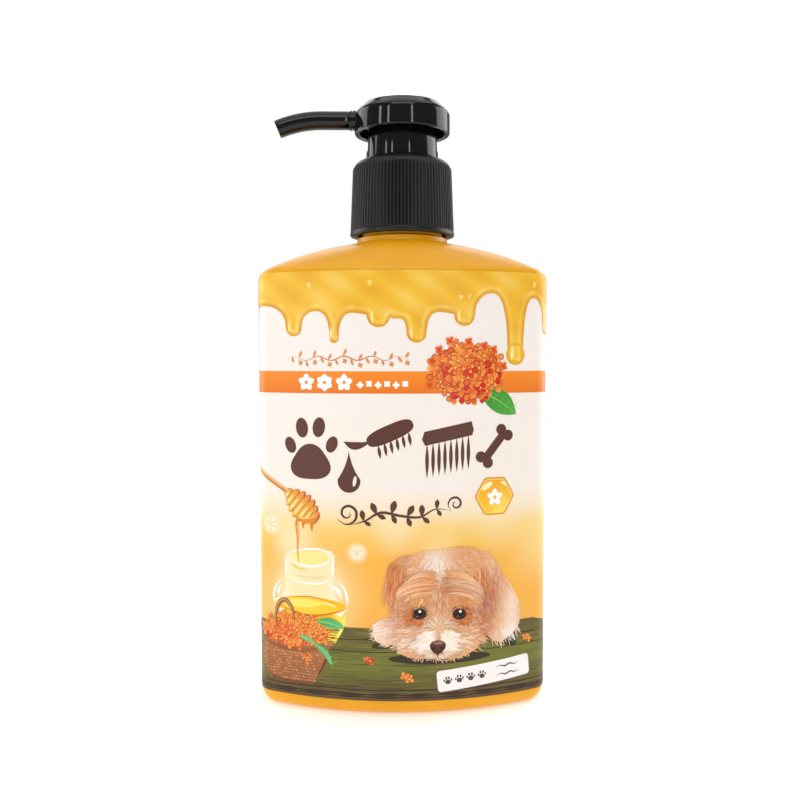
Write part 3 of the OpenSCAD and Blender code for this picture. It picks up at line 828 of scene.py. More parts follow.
def bowed(start, end, bow, rows):
    """Points of a shallow arc from start to end, bow mm to its right."""
    start, end = Vector(start), Vector(end)
    across = Vector(((end - start).y, -(end - start).x)).normalized()
    return [start.lerp(end, t) + across * bow * 4 * t * (1 - t) for t in (k / rows for k in range(rows + 1))]


def shaded(first, second, rows):
    return [first.lerp(second, k / rows) for k in range(rows + 1)]


def taper(width, rows, peak=0.35, tip=0.02):
    """Half widths of a stroke that swells to its peak and comes to a point."""
    out = []
    for k in range(rows + 1):
        t = k / rows
        share = t / peak if t < peak else (1 - t) / (1 - peak)
        out.append(max(width * math.sin(share * math.pi / 2), tip))
    return out


def disc(centre, wide, tall, first, second=None, lift=0.05, lean=0.0, rows=12):
    """An ellipse as one stroke, shaded from its foot to its top."""
    angle = math.radians(lean)
    up = Vector((-math.sin(angle), math.cos(angle)))
    shares = [-math.cos(math.pi * k / rows) for k in range(rows + 1)]
    points = [Vector(centre) + up * tall * s for s in shares]
    widths = [max(wide * math.sqrt(max(1 - s * s, 0)), 0.001) for s in shares]
    return points, widths, shaded(first, second or first, rows), lift


def petal(centre, angle, length, width, root, tip, lift, rows=6):
    """A stroke from a centre outwards, widest past its middle."""
    turn = math.radians(angle)
    end = (centre[0] + length * math.cos(turn), centre[1] + length * math.sin(turn))
    return bowed(centre, end, 0, rows), taper(width, rows, 0.62), shaded(root, tip, rows), lift


def finish_print(bm, name):
    """Wraps the flat drawing on the film and makes it a piece."""
    for vert in bm.verts:
        vert.co = Vector(sleeve_point(vert.co.x, vert.co.y, vert.co.z)) * MM
    mesh = bpy.data.meshes.new(name)
    bm.to_mesh(mesh)
    bm.free()
    piece = bpy.data.objects.new(name, mesh)
    bpy.context.collection.objects.link(piece)
    mesh.materials.append(printed_ink)
    for polygon in mesh.polygons:
        polygon.use_smooth = True
    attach(piece, "bottle_body")
    print(name, "faces:", len(mesh.polygons))
    return piece


# %% [markdown]
# ## Honey round the top
# Thick honey hangs in drips from the sleeve's upper edge. Its lower edge is a row of
# rounded tips joined by arches. Columns of a grid run down to that edge, and the ink
# darkens into an amber rim, with a pale gloss inside each tip.

# %% Honey drips
TIPS = [(-29.1, 99.1, 2.3), (-18, 97.3, 1.2), (-6.5, 101.3, 3.0), (3.2, 97.4, 2.6), (15.6, 101.7, 2.8),
        (29.9, 91.8, 2.3), (40.2, 99.6, 1.6)]
ARCHES = [107.1, 105.5, 105.0, 103.5, 105.2, 110.2, 109.2]


def drip_row():
    """Tips and arches for the whole girth: the front's own, then freely spaced ones."""
    row = [(x, z, w, a) for (x, z, w), a in zip(TIPS, ARCHES)]
    x = TIPS[-1][0]
    end = TIPS[0][0] + 2 * HALF_GIRTH - 8
    while x < end - 10:
        x += dice.uniform(8.5, 12.5)
        row.append((x, dice.uniform(95, 102), dice.uniform(1.4, 2.8), dice.uniform(104, 109)))
    return row


drip_list = drip_row()
girth = 2 * HALF_GIRTH


def honey_edge(run):
    """Height of the honey's lower edge."""
    run = (run - TIPS[0][0]) % girth + TIPS[0][0]
    count = len(drip_list)
    for i, (x, tip, w, _) in enumerate(drip_list):
        nx, ntip, nw, narch = drip_list[(i + 1) % count]
        if i == count - 1:
            nx += girth
        if run <= nx:
            break
    arch_top = narch
    left, right = x + w, nx - nw
    if run < left:
        return tip + w - math.sqrt(max(w * w - (run - x) ** 2, 0))
    if run > right:
        return ntip + nw - math.sqrt(max(nw * nw - (run - nx) ** 2, 0))
    u = (run - left) / (right - left)
    foot = (tip + w) * (1 - u) + (ntip + nw) * u
    bend = abs(2 * u - 1)
    return foot + (arch_top - foot) * (1 - bend ** 2.3) ** (1 / 2.3)


COLUMNS = 900
DEPTHS = [0, 0.12, 0.25, 0.4, 0.6, 0.85, 1.15, 1.5, 2.0, 2.6, 3.3, 4.2, 5.3, 6.6]
edge_heights = [honey_edge(-HALF_GIRTH + girth * i / COLUMNS) for i in range(COLUMNS)]
step = girth / COLUMNS


def edge_gap(column, height):
    """Shortest way from a point in the honey to its edge."""
    best = 9.0
    for k in range(-12, 13):
        rise = height - edge_heights[(column + k) % COLUMNS]
        best = min(best, math.hypot(k * step, max(rise, 0)))
    return best


def honey_ink(run, height, gap):
    wave = math.sin(run * 0.42 + height * 0.3) * math.sin(height * 0.55 + run * 0.13 + 1.4)
    colour = HONEY.lerp(HONEY_DEEP, max(wave, 0) * 0.45)
    colour = colour.lerp(HONEY_PALE, max(-wave, 0) * 0.35)
    if gap < 2.2:
        rim = math.exp(-((gap - 0.35) / 0.45) ** 2)
        glint = math.exp(-((gap - 1.35) / 0.4) ** 2)
        colour = colour.lerp(ink(214, 146, 40), rim * 0.75)
        colour = colour.lerp(HONEY_PALE, glint * (0.25 + 0.35 * max(math.sin(run * 1.3 + 0.6), 0)))
    return colour


HONEY_LIFT, TOP_LIFT, SWELL_FROM, SWELL_RISE = 0.04, 0.1, 106, 5
bm = new_print()
rows = len(DEPTHS)
grid = bmesh.ops.create_grid(bm, x_segments=COLUMNS, y_segments=rows + 5, size=1)["verts"]
for vert in grid:
    column = round((vert.co.x + 1) / 2 * COLUMNS)
    row = round((vert.co.y + 1) / 2 * (rows + 5))
    foot = edge_heights[column % COLUMNS]
    if row < rows:
        height = foot + DEPTHS[row] * min(1, (SLEEVE_HIGH - foot) / 8.5)
    else:
        base = foot + DEPTHS[-1] * min(1, (SLEEVE_HIGH - foot) / 8.5)
        height = base + (SLEEVE_HIGH - 0.05 - base) * (row - rows + 1) / 6
    run = -HALF_GIRTH + column * step
    lay_ink(bm, vert, honey_ink(run, height, edge_gap(column, height)))
    # Laid thicker towards the top, so that it clears the film where that curves in
    swell = min(max((height - SWELL_FROM) / SWELL_RISE, 0), 1)
    vert.co = (run, height, HONEY_LIFT + TOP_LIFT * swell)
strokes = []
for x, tip, w, _ in drip_list:
    strokes.append((bowed((x - w * 0.45, tip + 1.0), (x - w * 0.5, tip + 4.2), -0.2, 6),
                    taper(0.32, 6), shaded(HONEY_PALE, ink(252, 236, 170), 6), 0.07))
    strokes.append((bowed((x + w * 0.3, tip + 0.7), (x + w * 0.62, tip + 2.4), 0.15, 6),
                    taper(0.2, 6), shaded(HONEY_PALE, HONEY, 6), 0.07))
for _ in range(26):
    x, z = dice.uniform(-90, 90), dice.uniform(108.5, 113.5)
    if abs(z - honey_edge(x)) > 2:
        strokes.append((bowed((x, z), (x + dice.uniform(-1, 1), z - dice.uniform(1, 2.2)), 0.3, 6),
                        taper(dice.uniform(0.3, 0.7), 6), shaded(HONEY_PALE, HONEY, 6), 0.17))
ribbons(bm, strokes)
ribbons(bm, [disc((29.9, 94.4), 2.75, 2.75, ink(222, 158, 42), ink(228, 168, 46), 0.05, rows=20),
             disc((29.9, 94.9), 2.4, 2.85, ink(232, 172, 46), HONEY, 0.06, rows=20),
             disc((29.0, 95.2), 0.45, 1.5, ink(252, 232, 150), HONEY_PALE, 0.08, 8, rows=20),
             disc((30.9, 93.4), 0.7, 0.5, ink(250, 214, 110), ink(244, 196, 80), 0.08, 30, rows=20)])
finish_print(bm, "print_honey")

# %% [markdown]
# ## The orange band and the blossoms
# The band runs right round the bottle. Small white blossoms stand on it, a leafy
# garland runs above it, and a cluster of sweet olive flowers hangs over it.

# %% Band, its small blossoms and the garland
def blossom(centre, size, petals, root, tip, lift, turn=0.0, plump=0.36):
    return [petal(centre, turn + 360 * k / petals, size, size * plump, root, tip, lift + 0.001 * k)
            for k in range(petals)]


bm = new_print()
grid = bmesh.ops.create_grid(bm, x_segments=180, y_segments=2, size=1)["verts"]
for vert in grid:
    share = (vert.co.y + 1) / 2
    lay_ink(bm, vert, ink(228, 118, 34).lerp(ink(243, 140, 42), share))
    vert.co = (vert.co.x * HALF_GIRTH, 84.4 + 5.7 * share, 0.03)
strokes = []
for centre, size, petals in (((-25.6, 87.2), 2.3, 5), ((-20.6, 87.2), 2.3, 6), ((-15.4, 87.2), 2.3, 5)):
    strokes += blossom(centre, size, petals, WHITE, WHITE, 0.05, 90)
for k in range(6):
    strokes += blossom((-11.2 + 2.3 * k, 86.6 + 0.3 * (k % 2)), 0.95, 4, WHITE, WHITE, 0.05, 45 * (k % 2),
                       0.42)
for k in range(30):
    strokes += blossom((47 + 3.2 * k, 87.2), 1.2, 4 + k % 2, WHITE, WHITE, 0.05, 20 * k)
ribbons(bm, strokes)
ribbons(bm, [disc((x, 87.2), 0.45, 0.45, BAND_ORANGE, BAND_ORANGE, 0.07, rows=8) for x in (-25.6, -20.6,
                                                                                           -15.4)])
finish_print(bm, "print_band")

bm = new_print()
vine = [(-31 + 32 * k / 48, 93.4 + 0.55 * math.sin(k * 0.6)) for k in range(49)]
ribbons(bm, [(vine, taper(0.16, 48, 0.5), [RUST] * 49, 0.04)])
strokes = []
for k in range(2, 48, 3):
    x, z = vine[k]
    side = 1 if (k // 3) % 2 else -1
    strokes.append(petal((x, z), side * dice.uniform(45, 75), dice.uniform(1.5, 2.2), 0.36, RUST,
                         ink(222, 152, 84), 0.05))
    if k % 2:
        strokes += blossom((x + 0.5, z - side * 1.2), 0.75, 4, RUST, ink(228, 150, 70), 0.055, 30)
ribbons(bm, strokes)
finish_print(bm, "print_garland")

# %% Sweet olive flowers and their leaf
RED, ORANGE, YELLOW = ink(206, 40, 26), ink(244, 128, 36), ink(253, 202, 96)
LEAF_DARK, LEAF, LEAF_PALE = ink(44, 122, 44), ink(82, 168, 62), ink(150, 205, 110)


def flower_heap(centre, wide, tall, count, size, lift, warm):
    """Four-petalled flowers heaped in an ellipse, the outer ones first."""
    places = []
    for k in range(count):
        reach, turn = math.sqrt((k + 0.5) / count), k * 2.39996
        places.append((reach, centre[0] + wide * reach * math.cos(turn),
                       centre[1] + tall * reach * math.sin(turn)))
    strokes, hearts = [], []
    for k, (reach, x, z) in enumerate(sorted(places, reverse=True)):
        top = lift + 0.0012 * k
        turn, big = dice.uniform(0, 90), size * dice.uniform(0.75, 1.15)
        glow = min(max((z - centre[1]) / tall * 0.35 + 0.45 + dice.uniform(-0.5, 0.5) + warm, 0), 1)
        tip = RED.lerp(ORANGE, glow)
        for j in range(4):
            angle = turn + 90 * j + dice.uniform(-12, 12)
            strokes.append(petal((x, z), angle, big * 1.1, big * 0.42, RED * 0.55,
                                 tip.lerp(YELLOW, 0.6) if j % 2 else RED * 0.6,
                                 top))
            strokes.append(petal((x, z), angle, big, big * 0.33, tip.lerp(RED, 0.55),
                                 tip.lerp(YELLOW, 0.5 * glow),
                                 top + 0.0004))
        hearts.append(disc((x, z), big * 0.16, big * 0.16, YELLOW, ink(255, 225, 140), top + 0.0008,
                           rows=6))
    return strokes, hearts


bm = new_print()


def leaf_shape(foot, tip, bow_a, bow_b, lift, dark=LEAF_DARK, pale=LEAF):
    """A leaf between two bowed edges, darker at its foot, with a pale midrib."""
    edge = bowed(foot, tip, bow_a, 12) + bowed(tip, foot, bow_b, 12)[1:-1]
    span = (Vector(tip) - Vector(foot))

    def colour(x, z):
        t = min(max((Vector((x, z)) - Vector(foot)).dot(span) / span.length_squared, 0), 1)
        return dark.lerp(pale, 0.25 + 0.75 * t)
    patch(bm, [tuple(p) for p in edge], colour, lift)
    rib = bowed(foot, tip, (bow_a - bow_b) * 0.5, 12)
    ribbons(bm, [(rib, taper(0.14, 12, 0.1), [LEAF_PALE] * 13, lift + 0.02)])
    ribbons(bm, [(bowed(rib[k], rib[k] + side + span.normalized() * 1.0, 0, 4), taper(0.07, 4, 0.2),
                  [LEAF_PALE.lerp(pale, 0.4)] * 5, lift + 0.02)
                 for k in range(2, 11, 2)
                 for side in (Vector((span.y, -span.x)).normalized() * bow_a * 0.8,
                              Vector((-span.y, span.x)).normalized() * bow_b * 0.8)])


leaf_shape((20.0, 84.6), (30.2, 78.8), 2.4, 3.6, 0.05)
strokes, hearts = flower_heap((16.4, 90.0), 9.2, 7.3, 66, 2.0, 0.08, 0.05)
for x, z in ((11.8, 97.9), (16.8, 97.6), (21.0, 96.6), (23.6, 95.6), (26.4, 91.4), (7.2, 92.6), (9.0, 95.6),
             (6.6, 86.6)):
    strokes += [petal((x, z), angle, 1.3, 0.5, RED, ORANGE, 0.16) for angle in (60, 150, 230, 320)]
ribbons(bm, strokes)
ribbons(bm, hearts)
finish_print(bm, "print_flowers")

# %% [markdown]
# ## The brown motifs
# A row of large brown motifs crosses the cream ground: a paw, a drop, a brush, a
# comb and a bone. Plain pictures say what the bottle is for without a word. A
# scrolled flourish lies under them.

# %% Motifs
bm = new_print()


def pen(points, width, lift=0.05, peak=0.4, colour=COCOA):
    """One pen stroke through a few points, smoothed by a spline."""
    rows = 24
    knots = [Vector(p) for p in points]
    knots = [knots[0] * 2 - knots[1]] + knots + [knots[-1] * 2 - knots[-2]]
    out = []
    for k in range(rows + 1):
        t = k / rows * (len(points) - 1)
        i = min(int(t), len(points) - 2)
        t -= i
        a, b, c, d = knots[i:i + 4]
        out.append(0.5 * (2 * b + (c - a) * t + (2 * a - 5 * b + 4 * c - d) * t * t
                          + (3 * b - a - 3 * c + d) * t * t * t))
    return out, taper(width, rows, peak), [colour] * (rows + 1), lift


def ring_outline(centre, wide, tall, lobes=0.0, count=40, lean=0.0, power=1.0):
    turn = math.radians(lean)
    outline = []
    for k in range(count):
        a = 2 * math.pi * k / count
        swell = 1 + lobes * math.cos(3 * a + math.pi / 2)
        x = wide * swell * math.copysign(abs(math.cos(a)) ** power, math.cos(a))
        z = tall * swell * math.copysign(abs(math.sin(a)) ** power, math.sin(a))
        outline.append((centre[0] + x * math.cos(turn) - z * math.sin(turn),
                        centre[1] + x * math.sin(turn) + z * math.cos(turn)))
    return outline


# Paw: a lobed pad under four toes
patch(bm, ring_outline((-24.6, 66.2), 5.4, 4.6, 0.1), COCOA, 0.05)
ribbons(bm, [disc(place, wide, tall, COCOA, COCOA, 0.05, lean, 14) for place, wide, tall, lean in (
    ((-30.2, 70.8), 1.5, 2.2, 22), ((-26.9, 75.4), 1.7, 2.6, 8), ((-22.2, 75.6), 1.7, 2.6, -8),
    ((-18.7, 71.2), 1.5, 2.2, -22))])
# Drop with a highlight
drop = bowed((-14.2, 69.6), (-11.2, 62.2), 0.5, 8) + ring_outline((-14.2, 61.8), 3.0, 3.0,
                                                                  count=40)[-1:20:-1]
patch(bm, [tuple(p) for p in drop] + [tuple(p) for p in bowed((-17.2, 62.2), (-14.2, 69.6), 0.5, 8)[:-1]],
      COCOA, 0.05, 1.0)
ribbons(bm, [disc((-12.7, 61.8), 0.45, 1.4, CREAM, CREAM, 0.07, -10)])
# Grooming brush: a long body, a short handle and a row of bristles
patch(bm, ring_outline((-3.6, 74.3), 6.4, 2.1, 0, 36, 24, 0.7), COCOA, 0.05)
ribbons(bm, [pen([(-8.4, 72.1), (-11.0, 71.2), (-13.2, 71.0), (-15.6, 72.0)], 1.0, peak=0.6)]
        + [pen([(-6.6 + 1.55 * k, 71.2 + 0.68 * k), (-6.3 + 1.55 * k, 69.4 + 0.68 * k),
                (-6.0 + 1.55 * k, 67.6 + 0.68 * k)],
               0.42, peak=0.5) for k in range(6)])
# Comb: a spine with teeth
patch(bm, [(5.2, 74.6), (17.6, 77.2), (18.2, 75.0), (17.8, 73.6), (5.4, 71.0), (4.6, 72.6)], COCOA, 0.05)
ribbons(bm, [pen([(5.9 + 1.55 * k, 71.6 + 0.32 * k), (5.9 + 1.55 * k, 67 + 0.3 * k),
                  (5.9 + 1.55 * k, 62.6 + 0.3 * k)], 0.46, peak=0.5) for k in range(8)])
# Bone: a bar between two pairs of knuckles
BONE = (Vector((21.4, 67.4)), Vector((26.6, 73.8)))
shaft = (BONE[1] - BONE[0]).normalized()
wide = Vector((shaft.y, -shaft.x))
ribbons(bm, [(bowed(BONE[0], BONE[1], 0, 8), [1.1] * 9, [COCOA] * 9, 0.05)]
        + [disc(end + wide * side * 1.25 + shaft * out * 0.4, 1.45, 1.45, COCOA, COCOA, 0.051, rows=8)
           for end, out in ((BONE[0], -1), (BONE[1], 1)) for side in (-1, 1)])
finish_print(bm, "print_motifs")

# %% Flourish: a rising vine with paired leaves and a spiral at each end
bm = new_print()


def spiral(centre, start, turns, first, last):
    """Knots of a spiral that opens from first to last radius."""
    knots = []
    for k in range(11):
        a = math.radians(start + 360 * turns * k / 10)
        r = first + (last - first) * k / 10
        knots.append((centre[0] + r * math.cos(a), centre[1] + r * math.sin(a)))
    return knots


curls = [pen(spiral((-14.6, 53.4), 60, -1.6, 0.4, 3.2), 0.36, peak=0.7),
         pen(spiral((13.4, 55.9), 60, 1.5, 0.3, 2.2), 0.3, peak=0.7),
         pen([(-14.0, 50.4), (-10.0, 51.6), (-6.0, 53.8), (-1.0, 53.0), (4.0, 52.6), (8.0, 54.6),
              (12.0, 54.2)], 0.36)]
ribbons(bm, curls)
ribbons(bm, [petal(place, angle, size, size * 0.24, COCOA, COCOA, 0.06) for place, angle, size in (
    ((-10.4, 51.5), 100, 3.0), ((-10.4, 51.5), -30, 2.2), ((-7.0, 53.3), 115, 3.4), ((-7.0, 53.3), -25,
                                                                                     2.6),
    ((-3.2, 53.5), 75, 3.6), ((-3.2, 53.5), -65, 2.8), ((0.8, 52.8), 60, 3.4), ((0.8, 52.8), -70, 2.8),
    ((4.6, 52.7), 90, 3.2), ((4.6, 52.7), -40, 2.6), ((8.4, 54.6), 85, 2.6), ((8.4, 54.6), -55, 2.2))])
finish_print(bm, "print_flourish")

# %% Golden badge: a hexagon of honey with a flower
bm = new_print()


def hexagon(centre, reach, rounding=0.16):
    """A hexagon with flat top and rounded corners."""
    corners = [Vector((centre[0] + reach * math.cos(math.radians(60 * k)),
                       centre[1] + reach * math.sin(math.radians(60 * k))))
               for k in range(6)]
    outline = []
    for k in range(6):
        before, corner, after = corners[k - 1], corners[k], corners[(k + 1) % 6]
        start, end = corner.lerp(before, rounding), corner.lerp(after, rounding)
        for j in range(5):
            t = j / 4
            outline.append(tuple(start.lerp(corner, t).lerp(corner.lerp(end, t), t)))
    return outline


def badge_ink(x, z):
    t = min(max((z - 52.4) / 10.4, 0), 1)
    colour = ink(250, 196, 44).lerp(ink(236, 158, 30), t)
    return colour.lerp(ink(255, 226, 110), math.exp(-((x - 25.6) ** 2 + (z - 54.6) ** 2) / 6))


patch(bm, hexagon((24.1, 57.5), 5.7), ink(226, 148, 32), 0.05, 1.0)
patch(bm, hexagon((24.1, 57.5), 5.2), ink(252, 222, 120), 0.07, 1.0)
patch(bm, hexagon((24.1, 57.5), 4.9), badge_ink, 0.09, 0.8)
ribbons(bm, [disc((21.9, 60.2), 0.7, 1.7, ink(255, 232, 150), ink(255, 244, 205), 0.11, -58),
             disc((26.7, 60.7), 0.35, 1.0, ink(255, 232, 150), ink(255, 244, 205), 0.11, 55)])
ribbons(bm, blossom((24.1, 57.2), 2.3, 5, WHITE, WHITE, 0.12, 90, 0.33))
ribbons(bm, [disc((24.1, 57.2), 0.5, 0.5, HONEY, HONEY, 0.14, rows=8)])
finish_print(bm, "print_badge")

# %% [markdown]
# ## The lower scene
# A plank of weathered wood carries the scene: a jar of honey under a dipper, a
# basket of flowers, and a puppy resting its chin. Wood grain and fur are both made
# of many fine strokes, laid over a plain base shape.

# %% Plank
PLANK_FOOT, PLANK_HALF, PLANK_ROUND = 4.45, 52, 6  # lower edge, half length, rounding of each end


def plank_top(run):
    """Height of the plank's upper edge, which falls in a quarter round at each end."""
    top = 24.0 - max(run - 36, 0) * 0.3 if run > 31 else 23.4 + 0.2 * math.sin(run * 0.3)
    past = max(abs(run) - (PLANK_HALF - PLANK_ROUND), 0) / PLANK_ROUND
    return PLANK_FOOT + (top - PLANK_FOOT) * math.sqrt(max(1 - past ** 2, 0))


def plank_ink(z):
    colour = ink(98, 86, 44).lerp(ink(118, 120, 48), math.exp(-((z - 15) / 5) ** 2))
    return colour.lerp(ink(96, 70, 46), math.exp(-((z - 5.5) / 2) ** 2) * 0.8)


bm = new_print()
grid = bmesh.ops.create_grid(bm, x_segments=90, y_segments=16, size=1)["verts"]
for vert in grid:
    run, share = PLANK_HALF * vert.co.x, (vert.co.y + 1) / 2
    height = PLANK_FOOT + (plank_top(run) - PLANK_FOOT) * share
    lay_ink(bm, vert, plank_ink(height))
    vert.co = (run, height, 0.03)
strokes = []
GRAINS = [ink(128, 118, 66), ink(78, 66, 40), ink(112, 118, 58), ink(96, 84, 50), ink(138, 122, 76),
          ink(70, 60, 36)]
for k in range(620):
    x, long = dice.uniform(-49, 43), dice.uniform(3, 15)
    end = min(x + long, 49)
    z = dice.uniform(5.0, min(plank_top(x), plank_top(end)) - 0.4)
    colour = plank_ink(z).lerp(dice.choice(GRAINS), dice.uniform(0.25, 0.75))
    drop = dice.uniform(-0.25, 0.25)
    strokes.append((bowed((x, z), (end, z + drop), dice.uniform(-0.15, 0.15), 8),
                    taper(dice.uniform(0.05, 0.2), 8, 0.5), [colour] * 9, 0.045 + 0.00005 * k))
for z, width in ((6.2, 0.42), (5.5, 0.25), (7.4, 0.16), (17.4, 0.1), (20.6, 0.12)):
    for x in range(-46, 37, 9):
        strokes.append((bowed((x, z + dice.uniform(-0.15, 0.15)), (x + 10, z + dice.uniform(-0.15, 0.15)),
                              0.1, 8),
                        taper(width, 8, 0.5, 0.1), [ink(62, 46, 32)] * 9, 0.08))
ribbons(bm, strokes)
ribbons(bm, [(bowed((-46, 23.4), (31, 23.7), 0, 40), [0.1] * 41, [ink(120, 104, 58)] * 41, 0.08)])
finish_print(bm, "print_plank")

# %% Honey jar
bm = new_print()
GLASS = ink(246, 224, 170)
jar_body = ([(-30.6, 36.4)] + bowed((-31.8, 35.9), (-35.6, 29.4), -1.6, 8) + bowed((-35.6, 29.4),
                                                                                   (-33.0, 20.0), -0.9, 6)
            + bowed((-17.8, 19.2), (-14.6, 28.8), -0.9, 6) + bowed((-14.6, 28.8), (-18.4, 36.6), -1.8, 8))


def jar_ink(x, z):
    side = min(abs(x + 25.1) / 10.6, 1)
    return GLASS.lerp(ink(255, 252, 240), side ** 3)


def honey_fill_ink(x, z):
    t = min(max((29.5 - z) / 11, 0), 1)
    colour = ink(238, 164, 30).lerp(ink(250, 206, 50), t)
    return colour.lerp(ink(252, 228, 84), math.exp(-((x + 16.6) / 1.6) ** 2))


patch(bm, [tuple(p) for p in jar_body], jar_ink, 0.04, 1.2)
patch(bm, [(-31.8, 36.0), (-31.9, 41.6), (-30.6, 42.9), (-19.0, 43.5), (-18.0, 42.2), (-18.4, 36.4)],
      jar_ink, 0.045, 1.2)
level = [(-35.2, 28.9), (-30.4, 27.0), (-24.6, 26.2), (-18.8, 27.0), (-14.7, 28.6)]
fill = level + [(-15.0, 26.0), (-15.9, 22.6), (-17.9, 19.3), (-33.0, 19.6), (-34.9, 25.0)]
patch(bm, fill, honey_fill_ink, 0.06, 1.2)
ribbons(bm, [disc((-25.0, 28.6), 2.35, 10.1, ink(247, 190, 34), ink(252, 214, 66), 0.065, 91, rows=24),
             disc((-27.0, 29.2), 1.1, 5.5, ink(252, 220, 84), ink(253, 228, 120), 0.07, 92, rows=24),
             disc((-25.2, 41.2), 1.7, 5.4, ink(244, 222, 130), ink(250, 232, 150), 0.065, 92, rows=24)])
GLARE = ink(255, 255, 250)
ribbons(bm, [pen(points, width, lift, peak, colour) for points, width, lift, peak, colour in (
    ([(-35.2, 28.9), (-30.2, 26.9), (-24.8, 26.1), (-19.4, 26.9), (-14.7, 28.7)], 0.32, 0.08, 0.5,
     ink(214, 120, 22)),
    ([(-35.2, 29.2), (-30.0, 30.6), (-24.8, 31.0), (-19.6, 30.2), (-14.7, 28.8)], 0.16, 0.08, 0.5,
     ink(222, 140, 30)),
    ([(-31.9, 36.2), (-28.6, 34.9), (-24.8, 34.6), (-21.4, 34.9), (-18.4, 36.2)], 0.22, 0.08, 0.5, GLARE),
    ([(-31.9, 37.6), (-28.4, 36.4), (-24.8, 36.1), (-21.2, 36.5), (-18.4, 37.6)], 0.3, 0.08, 0.5,
     ink(232, 214, 176)),
    ([(-31.6, 41.6), (-28.4, 39.6), (-24.6, 39.1), (-21.0, 39.9), (-18.4, 42.0)], 0.3, 0.08, 0.5, GLARE),
    ([(-31.4, 42.2), (-28.4, 43.2), (-24.6, 43.7), (-21.0, 43.6), (-18.6, 42.4)], 0.22, 0.08, 0.5, GLARE),
    ([(-30.6, 39.6), (-28.2, 38.4), (-25.2, 38.0)], 0.3, 0.085, 0.5, ink(236, 206, 104)),
    ([(-31.9, 41.0), (-31.7, 38.6), (-31.9, 36.2)], 0.3, 0.08, 0.5, GLARE),
    ([(-18.3, 41.6), (-18.5, 39.0), (-18.3, 36.4)], 0.3, 0.08, 0.5, GLARE),
    ([(-32.6, 35.4), (-34.6, 33.4), (-35.5, 30.8), (-35.3, 28.4)], 0.3, 0.08, 0.5, GLARE),
    ([(-17.8, 35.8), (-15.7, 34.0), (-14.7, 31.0), (-14.9, 28.6)], 0.3, 0.08, 0.5, GLARE),
    ([(-33.4, 33.8), (-34.0, 32.0), (-34.0, 30.6)], 0.4, 0.09, 0.5, GLARE),
    ([(-19.6, 34.6), (-17.2, 33.2), (-16.2, 31.0)], 0.5, 0.09, 0.5, GLARE),
    ([(-15.2, 27.2), (-16.0, 23.6), (-17.8, 20.4)], 0.4, 0.09, 0.5, ink(255, 238, 120)),
    ([(-22.0, 29.8), (-19.6, 29.4), (-17.6, 28.8)], 0.24, 0.09, 0.5, ink(254, 240, 160)))])
finish_print(bm, "print_jar")

# %% Honey dipper
bm = new_print()
AXIS = Vector((7.6, -6.6)).normalized()
ACROSS = Vector((AXIS.y, -AXIS.x))
HEAD = Vector((-31.2, 58.4))
ribbons(bm, [(bowed((-40.6, 64.0), (-31.0, 58.4), 0.1, 16), [0.62] * 17,
              shaded(ink(214, 152, 76), ink(196, 120, 52), 16), 0.05),
             (bowed((-40.6, 64.35), (-31.0, 58.75), 0.1, 16), [0.2] * 17, [ink(238, 190, 122)] * 17, 0.06)])
discs = []
for k, (along, reach) in enumerate(((0.6, 1.4), (2.1, 2.7), (3.7, 3.5), (5.4, 3.9), (7.1, 3.7), (8.7, 3.0),
                                    (10.0, 2.0))):
    middle = HEAD + AXIS * along
    lean = math.degrees(math.atan2(ACROSS.y, ACROSS.x)) - 90
    discs.append(disc(middle, 1.25, reach + 0.1, ink(150, 78, 26), ink(196, 128, 50), 0.05 + 0.004 * k,
                      lean, 16))
    discs.append(disc(middle - AXIS * 0.18, 0.86, reach, ink(222, 120, 34), ink(247, 200, 92),
                      0.052 + 0.004 * k, lean, 16))
    discs.append(disc(middle - AXIS * 0.25 - ACROSS * reach * -0.25, 0.3, reach * 0.5, ink(250, 206, 110),
                      ink(255, 232, 160),
                      0.0535 + 0.004 * k, lean, 16))
ribbons(bm, discs)
AMBER = ink(218, 122, 26)
ribbons(bm, [pen(points, width, 0.1, peak, colour) for points, width, peak, colour in (
    ([(-28.4, 51.8), (-28.5, 49.4), (-28.2, 46.6), (-28.3, 43.4), (-28.0, 39.0)], 0.42, 0.15, AMBER),
    ([(-28.3, 51.2), (-28.4, 49.2), (-28.1, 46.6), (-28.2, 43.6), (-27.9, 39.6)], 0.14, 0.3,
     ink(250, 196, 90)),
    ([(-24.2, 51.2), (-24.3, 49.8), (-24.2, 48.2)], 0.4, 0.3, AMBER),
    ([(-26.8, 50.8), (-26.7, 49.8), (-26.8, 48.8)], 0.36, 0.3, AMBER),
    ([(-29.6, 52.6), (-27.0, 51.2), (-24.0, 51.4), (-22.0, 53.0)], 0.6, 0.5, ink(226, 134, 34)),
    ([(-29.0, 52.8), (-27.0, 51.7), (-24.4, 51.8)], 0.2, 0.5, ink(252, 214, 120)))])
finish_print(bm, "print_dipper")

# %% Sparkles: six fine rays each
bm = new_print()
for place, size in (((-12.1, 43.2), 1.5), ((-36.3, 49.5), 2.0)):
    ribbons(bm, [petal(place, 90 + 60 * k, size, 0.16, ink(224, 178, 84), ink(240, 214, 150),
                       0.03 + 0.001 * k)
                 for k in range(6)])
finish_print(bm, "print_sparkles")

# %% Flower basket
bm = new_print()
basket = [(-39.2, 18.4), (-39.0, 12.8), (-38.0, 9.4), (-34.6, 7.9), (-24.0, 8.1), (-21.8, 11.2),
          (-20.2, 15.2), (-18.6, 19.4),
          (-28, 20.4)]


def wicker_ink(x, z):
    return ink(176, 112, 66).lerp(ink(124, 72, 42), min(max((14 - z) / 8, 0), 1))


